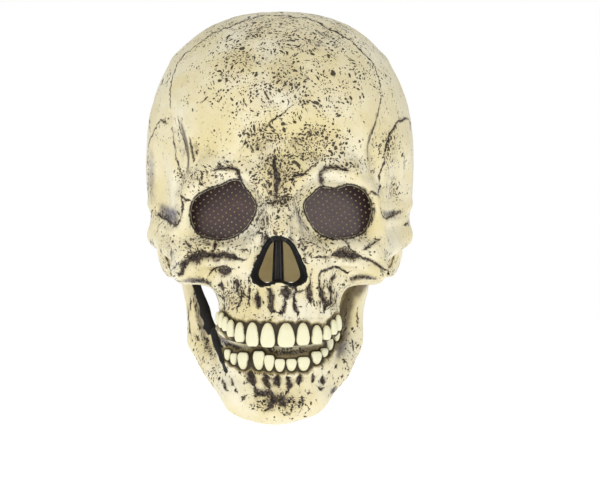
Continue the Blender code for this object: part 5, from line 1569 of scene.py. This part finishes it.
jaw_lift = (jaw_swell + jaw_sink + jaw_forms + 0.5 * MM * jaw_arc - 0.7 * MM * jaw_gum) * calm
jaw_shade = soft_strokes(flat_points, laid(JAW_SHADE, jaw_distance))
jaw_black_and_shadow = black_strokes(flat_points, laid(JAW_BLACK_AND_SHADOW, jaw_distance))
print("jaw wash", jaw_wash_and_shade.mean(), "brushed black", (jaw_black_and_shadow > 0.5).mean())


# %% Closed jaw sheet
def around(grid):
    """The border of a grid of numbers, once round."""
    return np.concatenate([grid[0, :-1], grid[:-1, -1], grid[-1, :0:-1], grid[:0:-1, 0]])


def jaw_sheet():
    """Outer grid, inner grid one wall under it, and half a circle of rings between their borders."""
    rows, columns = JAW_GRID
    outer = flat_points + flat_normals * jaw_lift[:, None]
    inner = flat_points + flat_normals * (np.minimum(jaw_lift, 0) - WALL)[:, None]
    number = np.arange(rows * columns).reshape(rows, columns)
    border = around(number)
    away = np.zeros((rows, columns, 3))
    away[0] += jaw_base[0] - jaw_base[1]
    away[-1] += jaw_base[-1] - jaw_base[-2]
    away[:, 0] += jaw_base[:, 0] - jaw_base[:, 1]
    away[:, -1] += jaw_base[:, -1] - jaw_base[:, -2]
    normal = flat_normals[border]
    away = unit(along_skin(away.reshape(-1, 3)[border], normal))
    points = [outer, inner]
    rings = [border]
    first = 2 * len(outer)
    for turn in np.radians((36, 72, 108, 144)):
        points.append(outer[border] + away * WALL / 2 * math.sin(turn)
                      - normal * WALL / 2 * (1 - math.cos(turn)))
        rings.append(first + np.arange(len(border)))
        first += len(border)
    rings.append(border + len(outer))
    cells = quads(rows, columns, False)
    faces = [cells, cells[:, ::-1] + len(outer)]
    for one, two in zip(rings[:-1], rings[1:]):
        faces.append(np.stack([one, np.roll(one, -1), np.roll(two, -1), two], -1))
    made = new_piece("jaw_skin", np.concatenate(points), np.concatenate(faces))
    for name, values in (("side", jaw_side), ("near", jaw_near), ("wide", jaw_wide), ("wash_and_shade", jaw_wash_and_shade),
                         ("pits", jaw_pits), ("tone_and_facing_light", jaw_tone_and_facing_light), ("gum", jaw_gum), ("black_paint_and_shadow", jaw_black_and_shadow),
                         ("shade", jaw_shade)):
        blank = NO_LINE if name in ("side", "near") else 0.0
        store(made, name, np.concatenate([values, np.full(len(outer), blank)] + [values[border]] * 4))
    store(made, "inside", np.concatenate([np.zeros(len(outer)), np.ones(len(outer)),
                                          np.zeros(4 * len(border))]))
    return made


jaw_piece = jaw_sheet()

# %% [markdown]
# ## Eye screens
#
# A punched sheet of smoked plastic closes each eye from behind, so that the wearer sees out and nobody
# sees in. A flat triangulation with the holes as fixed edges gives clean round holes. Cutting them one
# after the other with Booleans would take long and leave the same shape.

# %% Screens with round holes
SCREEN_LAP = 4.0 * MM
SCREEN_GAP = 0.4 * MM
SCREEN_WALL = 1.0 * MM
HOLE_RADIUS = 0.55 * MM
HOLE_SIDES = 12
HOLE_ROWS = np.array(((3.12, -1.83), (-2.51, -2.51))) * MM


def eye_screen(name, rows):
    """Holes stand on a slanted lattice: whole steps of two vectors, kept where they clear the edge."""
    hole = spline(rows, 8)
    ahead = np.roll(hole, -1, 0) - np.roll(hole, 1, 0)
    normal = unit(np.stack([ahead[:, 1], -ahead[:, 0]], -1))
    outward = np.sign(((hole - hole.mean(0)) * normal).sum())
    edge = hole + normal * outward * SCREEN_LAP
    steps = np.stack(np.meshgrid(np.arange(-20, 21), np.arange(-20, 21)), -1).reshape(-1, 2)
    places = hole.mean(0) + steps @ HOLE_ROWS
    places = places[outline_distance(edge, places) < -2 * HOLE_RADIUS]
    turn = np.arange(HOLE_SIDES) / HOLE_SIDES * 2 * math.pi
    circle = np.stack([np.cos(turn), np.sin(turn)], -1) * HOLE_RADIUS
    points = np.concatenate([edge, (places[:, None, :] + circle).reshape(-1, 2)])
    rim = np.arange(len(edge))
    first = len(edge) + np.arange(len(places))[:, None] * HOLE_SIDES
    one = first + np.arange(HOLE_SIDES)
    two = first + (np.arange(HOLE_SIDES) + 1) % HOLE_SIDES
    edges = np.concatenate([np.stack([rim, np.roll(rim, -1)], -1),
                            np.stack([one.reshape(-1), two.reshape(-1)], -1)])
    flat, _, triangles, _, _, _ = delaunay_2d_cdt([Vector(point) for point in points], edges.tolist(),
                                                  [], 1, 1e-7)
    flat = np.array([tuple(point) for point in flat])
    triangles = np.array([tuple(triangle) for triangle in triangles])
    middle = flat[triangles].mean(1)
    near = np.linalg.norm(middle[:, None, :] - places, axis=-1).min(1)
    triangles = triangles[near > HOLE_RADIUS * 0.9]
    front = np.stack([flat[:, 0], eye_plane(flat) + SCREEN_GAP, flat[:, 1]], -1)
    back = front + (0, SCREEN_WALL, 0)
    pairs = np.concatenate([triangles[:, [0, 1]], triangles[:, [1, 2]], triangles[:, [2, 0]]])
    key = pairs[:, 0] * len(flat) + pairs[:, 1]
    free = pairs[~np.isin(pairs[:, 1] * len(flat) + pairs[:, 0], key)]
    walls = np.stack([free[:, 1], free[:, 0], free[:, 0] + len(flat), free[:, 1] + len(flat)], -1)
    print(name, len(places), "holes")
    corners = front[triangles]
    across = np.cross(corners[:, 1] - corners[:, 0], corners[:, 2] - corners[:, 0])[:, 1].sum()
    faces = np.concatenate([triangles, triangles[:, ::-1] + len(flat), halves(walls)])
    return new_piece(name, np.concatenate([front, back]), faces if across < 0 else faces[:, ::-1], False)


screens = [eye_screen("screen_left", EYE_LEFT), eye_screen("screen_right", EYE_RIGHT)]

# %% [markdown]
# ## Finishes
#
# Colours are read off as sRGB hex values and turned to the linear numbers that a shader wants. One
# small function adds a node with its settings and links. Each finish is named for the real material.

# %% Colour and node helpers
def linear(text):
    """sRGB hex to linear: below 0.04045 a share of 12.92, above it a power of 2.4."""
    parts = np.array([int(text[index:index + 2], 16) / 255 for index in (1, 3, 5)])
    low = parts / 12.92
    high = ((parts + 0.055) / 1.055) ** 2.4
    return (*np.where(parts <= 0.04045, low, high), 1.0)


def add(tree, kind, settings, links=None, out=0):
    """Adds a node: a setting in small letters is its property, any other an input's value; a link goes
    from a socket to an input. Gives back one of its outputs."""
    made = tree.nodes.new("ShaderNode" + kind)
    for name, value in settings.items():
        if isinstance(name, str) and name[0].islower():
            setattr(made, name, value)
        else:
            made.inputs[name].default_value = value
    for name, source in (links or {}).items():
        tree.links.new(source, made.inputs[name])
    return made.outputs[out]


def start_material(name):
    """A material with an empty Principled shader; gives back the material, its tree and the shader."""
    made = bpy.data.materials.new(name)
    made.use_nodes = True
    return made, made.node_tree, made.node_tree.nodes["Principled BSDF"]


# %% [markdown]
# ### Painted latex
#
# Latex is matt rubber with a very soft sheen. Over the cream coat lie, in this order, a yellower tone
# where the skin faces the front, which with the paler and cooler sides is painted light, the wash in the
# hollows with the painted shade, the lines of the cracks, the pits, the olive gum and the black, which is
# also painted shadow in the eye rings, under the upper lip and in the jaw trench. Lines come from the
# charted distances: paint lies where the distance is under the half width, and noise makes that width
# uneven. Pits are cells of a Voronoi pattern, 3.4 mm, 2.2 mm and 1.5 mm wide, where only some cells hold
# one.

# %% Colours, coat, wash and painted shade
# Where the skin faces the front the cream is yellower and the wash and shade warm; to the sides the cream is
# paler and the wash and shade cool: painted light and shade. SHADE_COOL and SHADE_WARM colour the painted
# shade.
CREAM = "#E8DFBF"
CREAM_YELLOW = "#DDCF9B"
CREAM_PALE = "#F1ECD8"
WASH = "#66543D"
TAN = "#C8B68A"
WASH_WORN = "#75675C"
WASH_COOL_SIDE_SHADE = "#77727A"
SHADE_COOL = "#85808A"
SHADE_WARM = "#6A5E46"
WASH_DARK = "#211A16"
PIT_DARK = "#2A2014"
GUM = "#857547"
GUM_DARK = "#2A2217"
BLACK_PAINT = "#141312"
NATURAL_LATEX = "#D9C78E"


def cream_coat(tree, place, value):
    """Cream, yellower where the tone is high, that is where the skin faces the front, which is painted light;
    paler in clouds and tan where pits are dense.
    """
    soft = add(tree, "TexNoise", {"Scale": 1 / 0.030, "Detail": 3.0}, {"Vector": place})
    tone_and_facing_light = add(tree, "Math", {"operation": "MULTIPLY_ADD", 1: 0.8, 2: 0.1}, {0: value["tone_and_facing_light"]})
    yellow = add(tree, "Mix", {"data_type": "RGBA", 6: linear(CREAM), 7: linear(CREAM_YELLOW)},
                 {0: tone_and_facing_light}, out=2)
    paleness = add(tree, "MapRange", {1: 0.42, 2: 0.68, 3: 0.0, 4: 0.7}, {0: soft})
    coat = add(tree, "Mix", {"data_type": "RGBA", 7: linear(CREAM_PALE)}, {0: paleness, 6: yellow}, out=2)
    tan = add(tree, "MapRange", {1: 0.45, 2: 1.0, 3: 0.0, 4: 0.5}, {0: value["pits"]})
    return add(tree, "Mix", {"data_type": "RGBA", 7: linear(TAN)}, {0: tan, 6: coat}, out=2)


def wash_and_painted_shade(tree, value, coat, uneven, grain):
    """A thin stain, warm to the front and cool to the sides, which is wash and in part painted shade;
    the smooth painted shade over it; and flecks where the grain passes a level that falls with the wash."""
    amount = add(tree, "Math", {"operation": "ADD"}, {0: value["wash_and_shade"], 1: uneven})
    wash_and_shade = add(tree, "MapRange", {"interpolation_type": "SMOOTHSTEP", 1: 0.10, 2: 1.0, 3: 0.0, 4: 0.75},
               {0: amount})
    thin = add(tree, "Mix", {"data_type": "RGBA", 6: linear(WASH_COOL_SIDE_SHADE), 7: linear(WASH)},
               {0: value["tone_and_facing_light"]}, out=2)
    stained = add(tree, "Mix", {"data_type": "RGBA"}, {0: wash_and_shade, 6: coat, 7: thin}, out=2)
    cloudy = add(tree, "Math", {"operation": "MULTIPLY_ADD", 1: 0.5}, {0: uneven, 2: value["shade"]})
    cloudy = add(tree, "MapRange", {"interpolation_type": "SMOOTHSTEP", 1: 0.05, 2: 0.80, 4: 0.92},
                 {0: cloudy})
    shadow = add(tree, "Mix", {"data_type": "RGBA", 6: linear(SHADE_COOL), 7: linear(SHADE_WARM)},
                 {0: value["tone_and_facing_light"]}, out=2)
    stained = add(tree, "Mix", {"data_type": "RGBA"}, {0: cloudy, 6: stained, 7: shadow}, out=2)
    level = add(tree, "Math", {"operation": "MULTIPLY_ADD", 1: -0.34, 2: 0.70}, {0: value["wash_and_shade"]})
    flecks = add(tree, "Math", {"operation": "SUBTRACT"}, {0: grain, 1: level})
    flecks = add(tree, "MapRange", {1: -0.01, 2: 0.04, 3: 0.0, 4: 0.9}, {0: flecks})
    return add(tree, "Mix", {"data_type": "RGBA", 7: linear(WASH_DARK)}, {0: flecks, 6: stained}, out=2)


# %% Cracks and pits
def crack_lines(tree, place, value, rough):
    """Ink and the soft halo round it: the distance to the charted line, bent and roughened by noise,
    over the half width. Both end where the plain distance passes the width."""
    bend = add(tree, "TexNoise", {"Scale": 1 / 0.0030, "Detail": 3.0, "Roughness": 0.7}, {"Vector": place})
    bend = add(tree, "Math", {"operation": "MULTIPLY_ADD", 1: 0.0042, 2: -0.0021}, {0: bend})
    gap = add(tree, "Math", {"operation": "ADD"}, {0: value["side"], 1: bend})
    gap = add(tree, "Math", {"operation": "ABSOLUTE"}, {0: gap})
    jitter = add(tree, "Math", {"operation": "MULTIPLY_ADD", 1: 0.0022, 2: -0.0011}, {0: rough})
    gap = add(tree, "Math", {"operation": "ADD"}, {0: gap, 1: jitter})
    share = add(tree, "Math", {"operation": "DIVIDE"}, {0: gap, 1: value["wide"]})
    past = add(tree, "Math", {"operation": "SUBTRACT"}, {0: value["near"], 1: value["wide"]})
    past = add(tree, "MapRange", {1: 0.0010, 2: 0.0024, 3: 1.0, 4: 0.0}, {0: past})
    found = []
    for full, gone, most in ((0.75, 1.2, 1.0), (0.8, 3.2, 0.5)):
        part = add(tree, "MapRange", {"interpolation_type": "SMOOTHSTEP", 1: full, 2: gone, 3: most, 4: 0.0},
                   {0: share})
        found.append(add(tree, "Math", {"operation": "MULTIPLY"}, {0: part, 1: past}))
    return found


def pit_cells(tree, place, value):
    """Pits: in each Voronoi cell whose random number is under the share of pits, a blot of at most the
    limit. The place is warped and ruffled first, so that the blots are not round."""
    bent = place
    for size, move, detail in ((0.0110, 0.0100, 0.0), (0.0016, 0.0011, 2.0)):
        shift = add(tree, "TexNoise", {"Scale": 1 / size, "Detail": detail}, {"Vector": place}, out=1)
        shift = add(tree, "VectorMath", {"operation": "SCALE", "Scale": move}, {0: shift})
        bent = add(tree, "VectorMath", {"operation": "ADD"}, {0: bent, 1: shift})
    holes = None
    for width, limit in ((0.0034, 0.36), (0.0022, 0.38), (0.0015, 0.36)):
        cell = tree.nodes.new("ShaderNodeTexVoronoi")
        cell.inputs["Scale"].default_value = 1 / width
        tree.links.new(bent, cell.inputs["Vector"])
        chance = add(tree, "SeparateColor", {}, {0: cell.outputs["Color"]})
        size = add(tree, "Math", {"operation": "SUBTRACT"}, {0: value["pits"], 1: chance})
        size = add(tree, "Math", {"operation": "MULTIPLY", 1: limit * 3.2}, {0: size})
        size = add(tree, "Math", {"operation": "MINIMUM", 1: limit}, {0: size})
        depth = add(tree, "Math", {"operation": "SUBTRACT"}, {0: size, 1: cell.outputs["Distance"]})
        depth = add(tree, "MapRange", {1: -0.02, 2: 0.08}, {0: depth})
        holes = depth if holes is None else add(tree, "Math", {"operation": "MAXIMUM"}, {0: holes, 1: depth})
    return holes


# %% Painted latex
def painted_latex(name, has_inside):
    """The whole finish of one casting."""
    made, tree, shader = start_material(name)
    place = add(tree, "TexCoord", {}, out=3)
    value = {key: add(tree, "Attribute", {"attribute_name": key}, out=2)
             for key in VALUES + (("inside",) if has_inside else ())}
    rough = add(tree, "TexNoise", {"Scale": 1 / 0.0035, "Detail": 4.0, "Roughness": 0.65}, {"Vector": place})
    fine = add(tree, "TexNoise", {"Scale": 1 / 0.0012, "Detail": 3.0, "Roughness": 0.7}, {"Vector": place})
    upright = add(tree, "Mapping", {"Scale": (1.0, 1.0, 0.5)}, {0: place})
    grain = add(tree, "TexNoise", {"Scale": 1 / 0.0017, "Detail": 3.0, "Roughness": 0.6},
                {"Vector": upright})
    uneven = add(tree, "Math", {"operation": "MULTIPLY_ADD", 1: 0.9, 2: -0.45}, {0: rough})
    coat = wash_and_painted_shade(tree, value, cream_coat(tree, place, value), uneven, grain)
    # Ink in the cracks, darker and lighter by the grain, and dark pits
    line, halo = crack_lines(tree, place, value, rough)
    coat = add(tree, "Mix", {"data_type": "RGBA", 7: linear(WASH)}, {0: halo, 6: coat}, out=2)
    hatch = add(tree, "MapRange", {1: 0.44, 2: 0.60, 3: 0.0, 4: 0.55}, {0: grain})
    ink = add(tree, "Mix", {"data_type": "RGBA", 6: linear(WASH_DARK), 7: linear(WASH_WORN)},
              {0: hatch}, out=2)
    coat = add(tree, "Mix", {"data_type": "RGBA"}, {0: line, 6: coat, 7: ink}, out=2)
    holes = pit_cells(tree, place, value)
    pitted = add(tree, "Math", {"operation": "MULTIPLY", 1: 0.94}, {0: holes})
    coat = add(tree, "Mix", {"data_type": "RGBA", 7: linear(PIT_DARK)}, {0: pitted, 6: coat}, out=2)
    # Olive gum, darker near the teeth, and black: paint in the nose, and paint with painted shadow in the eye
    # rings, under the upper lip and in the jaw trench
    gum = add(tree, "Math", {"operation": "ADD"}, {0: value["gum"], 1: uneven})
    for paint_hex, low, high in ((GUM, 0.12, 0.60), (GUM_DARK, 0.50, 0.88)):
        part = add(tree, "MapRange", {"interpolation_type": "SMOOTHSTEP", 1: low, 2: high, 4: 0.92}, {0: gum})
        coat = add(tree, "Mix", {"data_type": "RGBA", 7: linear(paint_hex)}, {0: part, 6: coat}, out=2)
    black_paint_and_shadow = add(tree, "MapRange", {"interpolation_type": "SMOOTHSTEP", 1: 0.2, 2: 0.6}, {0: value["black_paint_and_shadow"]})
    coat = add(tree, "Mix", {"data_type": "RGBA", 7: linear(BLACK_PAINT)}, {0: black_paint_and_shadow, 6: coat}, out=2)
    if has_inside:
        coat = add(tree, "Mix", {"data_type": "RGBA", 7: linear(NATURAL_LATEX)},
                   {0: value["inside"], 6: coat}, out=2)
    tree.links.new(coat, shader.inputs["Base Color"])
    gloss = add(tree, "MapRange", {1: 0.3, 2: 0.7, 3: 0.50, 4: 0.64}, {0: rough})
    gloss = add(tree, "Mix", {"data_type": "FLOAT", 3: 0.60}, {0: black_paint_and_shadow, 2: gloss})
    tree.links.new(gloss, shader.inputs["Roughness"])
    # Relief in millimetres: pits and lines sink, the skin is slightly rough
    relief = add(tree, "Math", {"operation": "MULTIPLY", 1: -0.5}, {0: holes})
    for source, height in ((line, -0.6), (rough, 0.45), (fine, 0.14)):
        relief = add(tree, "Math", {"operation": "MULTIPLY_ADD", 1: height}, {0: source, 2: relief})
    bump = add(tree, "Bump", {"Strength": 1.0, "Distance": MM}, {"Height": relief})
    tree.links.new(bump, shader.inputs["Normal"])
    shader.inputs["IOR"].default_value = 1.5
    shader.inputs["Specular IOR Level"].default_value = 0.28
    return made


skull_latex = painted_latex("painted_latex_skull", False)
jaw_latex = painted_latex("painted_latex_jaw", True)


# %% [markdown]
# ### Ivory paint, natural latex, black paint and smoked plastic
#
# The teeth carry a glossier ivory paint with the wash left round their edges. The inside has no paint.
# The screens are punched from smoked polycarbonate film, which is dark and half glossy.

# %% Ivory of the teeth
def ivory_paint():
    """Ivory, yellower to the root, with brown wash round the edges, partly painted shade where the tooth
    turns away, and in fine streaks.
    """
    made, tree, shader = start_material("ivory_paint")
    place = add(tree, "TexCoord", {}, out=3)
    edge = add(tree, "Attribute", {"attribute_name": "edge"}, out=2)
    root = add(tree, "Attribute", {"attribute_name": "root"}, out=2)
    rough = add(tree, "TexNoise", {"Scale": 1 / 0.0022, "Detail": 3.0}, {"Vector": place})
    coat = add(tree, "Mix", {"data_type": "RGBA", 6: linear("#E9E5C2"), 7: linear("#DAD0A2")},
               {0: add(tree, "MapRange", {1: 0.3, 2: 1.0, 3: 0.0, 4: 0.8}, {0: root})}, out=2)
    wash_and_shade = add(tree, "Math", {"operation": "MULTIPLY_ADD", 1: 0.5}, {0: rough, 2: edge})
    wash_and_shade = add(tree, "MapRange", {"interpolation_type": "SMOOTHSTEP", 1: 0.95, 2: 1.35, 4: 0.9}, {0: wash_and_shade})
    colour = add(tree, "Mix", {"data_type": "RGBA", 7: linear(GUM_DARK)}, {0: wash_and_shade, 6: coat}, out=2)
    tree.links.new(colour, shader.inputs["Base Color"])
    shader.inputs["Roughness"].default_value = 0.38
    bump = add(tree, "Bump", {"Strength": 0.5, "Distance": 0.3 * MM}, {"Height": rough})
    tree.links.new(bump, shader.inputs["Normal"])
    return made


# %% Natural latex, black paint and smoked plastic
def natural_latex():
    """Unpainted rubber: cream yellow with cloudy patches and a faint cast grain."""
    made, tree, shader = start_material("natural_latex")
    place = add(tree, "TexCoord", {}, out=3)
    cloud = add(tree, "TexNoise", {"Scale": 1 / 0.025, "Detail": 4.0}, {"Vector": place})
    grain = add(tree, "TexNoise", {"Scale": 1 / 0.0015, "Detail": 2.0}, {"Vector": place})
    colour = add(tree, "Mix", {"data_type": "RGBA", 6: linear("#C9BB90"), 7: linear("#DCD2B0")},
                 {0: add(tree, "MapRange", {1: 0.35, 2: 0.65}, {0: cloud})}, out=2)
    tree.links.new(colour, shader.inputs["Base Color"])
    shader.inputs["Roughness"].default_value = 0.6
    bump = add(tree, "Bump", {"Strength": 0.4, "Distance": 0.3 * MM}, {"Height": grain})
    tree.links.new(bump, shader.inputs["Normal"])
    return made


def black_paint():
    """Half glossy black, a little greyer where it is thin."""
    made, tree, shader = start_material("black_latex_paint")
    place = add(tree, "TexCoord", {}, out=3)
    cloud = add(tree, "TexNoise", {"Scale": 1 / 0.004, "Detail": 3.0}, {"Vector": place})
    colour = add(tree, "Mix", {"data_type": "RGBA", 6: linear("#0E0D0D"), 7: linear("#2A2624")},
                 {0: cloud}, out=2)
    tree.links.new(colour, shader.inputs["Base Color"])
    shader.inputs["Roughness"].default_value = 0.38
    shader.inputs["Specular IOR Level"].default_value = 0.35
    bump = add(tree, "Bump", {"Strength": 0.5, "Distance": 0.3 * MM}, {"Height": cloud})
    tree.links.new(bump, shader.inputs["Normal"])
    return made


def smoked_plastic():
    """Dark brown-grey film with faint cloudiness and dust."""
    made, tree, shader = start_material("smoked_polycarbonate")
    place = add(tree, "TexCoord", {}, out=3)
    cloud = add(tree, "TexNoise", {"Scale": 1 / 0.012, "Detail": 3.0}, {"Vector": place})
    dust = add(tree, "TexNoise", {"Scale": 1 / 0.0008, "Detail": 2.0}, {"Vector": place})
    colour = add(tree, "Mix", {"data_type": "RGBA", 6: linear("#35282A"), 7: linear("#55423F")},
                 {0: cloud}, out=2)
    tree.links.new(colour, shader.inputs["Base Color"])
    gloss = add(tree, "MapRange", {1: 0.3, 2: 0.7, 3: 0.30, 4: 0.45}, {0: dust})
    tree.links.new(gloss, shader.inputs["Roughness"])
    return made


# %% Put the finishes on and tie the pieces to the frame
skull_piece.data.materials.append(skull_latex)
jaw_piece.data.materials.append(jaw_latex)
natural = natural_latex()
inner_piece.data.materials.append(natural)
ivory = ivory_paint()
upper_teeth.data.materials.append(ivory)
lower_teeth.data.materials.append(ivory)
bar_piece.data.materials.append(black_paint())
smoked = smoked_plastic()
for piece in (skull_piece, inner_piece, upper_teeth, bar_piece):
    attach(piece, "root")
    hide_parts("skull_shell")
for piece in (jaw_piece, lower_teeth):
    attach(piece, "root")
    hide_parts("jaw_shell")
for piece, node in zip(screens, ("eye_screen_left", "eye_screen_right")):
    piece.data.materials.append(smoked)
    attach(piece, "root")
    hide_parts(node)

# %% [markdown]
# ## Studio
#
# The mask is held up over a pale floor before a white background. The world is white to the eye but
# gives less light than that, so that the soft lamps can shade the face: a large one from the front and
# above, and weaker ones from the sides. A small lamp inside keeps the hollow from going black.

# %% Floor, light and camera
FLOOR = -0.335
FLOOR_RADIUS = 4.0


def studio_floor(turns, rows):
    """Rings of a flat disc: the radius grows with the square of the row."""
    radius = FLOOR_RADIUS * (np.arange(1, rows + 1) / rows) ** 2
    turn = np.arange(turns) / turns * 2 * math.pi
    points = np.stack([radius[:, None] * np.cos(turn), radius[:, None] * np.sin(turn),
                       FLOOR + 0 * radius[:, None] * turn], -1).reshape(-1, 3)
    column = np.arange(turns)
    fan = np.stack([np.full(turns, len(points)), column, (column + 1) % turns], -1)
    cells = quads(rows, turns, True)
    return new_piece("studio_floor", np.concatenate([points, [(0, 0, FLOOR)]]),
                     np.concatenate([halves(cells), fan]))


floor = studio_floor(96, 12)
paper, paper_tree, paper_shader = start_material("white_paper")
paper_cloud = add(paper_tree, "TexNoise", {"Scale": 2.0}, {"Vector": add(paper_tree, "TexCoord", {}, out=3)})
paper_colour = add(paper_tree, "Mix", {"data_type": "RGBA", 6: linear("#F7F7F6"), 7: linear("#FBFBFA")},
                   {0: paper_cloud}, out=2)
paper_tree.links.new(paper_colour, paper_shader.inputs["Base Color"])
paper_shader.inputs["Roughness"].default_value = 0.9
paper_shader.inputs["Emission Color"].default_value = (1.0, 1.0, 1.0, 1.0)
paper_shader.inputs["Emission Strength"].default_value = 0.60
floor.data.materials.append(paper)


def soft_light(name, place, aim, size, power):
    """A square area light that looks at a point."""
    lamp = bpy.data.lights.new(name, "AREA")
    lamp.size = size
    lamp.energy = power
    made = bpy.data.objects.new(name, lamp)
    made.location = place
    made.rotation_euler = (Vector(aim) - Vector(place)).to_track_quat("-Z", "Y").to_euler()
    bpy.context.scene.collection.objects.link(made)


HEAD = (0.0, 0.0, -0.15)
soft_light("key", (-0.8, -2.2, 1.3), HEAD, 1.1, 23.0)
soft_light("fill", (1.9, -1.6, 0.5), HEAD, 1.4, 11.0)
soft_light("left side", (-2.2, -0.3, 0.4), HEAD, 1.2, 4.0)
soft_light("above behind", (0.3, 1.7, 1.9), HEAD, 1.4, 10.0)
soft_light("inside", (0.0, -0.02, -0.09), (0.0, 0.05, -0.12), 0.05, 0.015)

WORLD_SEEN = 1.0
WORLD_LIGHT = 0.42
world = bpy.data.worlds.new("studio")
world.use_nodes = True
background = world.node_tree.nodes["Background"]
background.inputs["Color"].default_value = (1.0, 1.0, 1.0, 1.0)
seen = add(world.node_tree, "LightPath", {}, out=0)
strength = add(world.node_tree, "MapRange", {3: WORLD_LIGHT, 4: WORLD_SEEN}, {0: seen})
world.node_tree.links.new(strength, background.inputs["Strength"])
bpy.context.scene.world = world
bpy.context.scene.view_settings.view_transform = "Standard"

camera_data = bpy.data.cameras.new("camera")
camera_data.sensor_width = 36.0
camera_data.lens = FOCAL / 600 * 36.0
camera_data.clip_start = 0.05
camera = bpy.data.objects.new("camera", camera_data)
camera.location = CAMERA_PLACE
camera.rotation_euler = (math.radians(90), 0, 0)
bpy.context.scene.collection.objects.link(camera)
bpy.context.scene.camera = camera
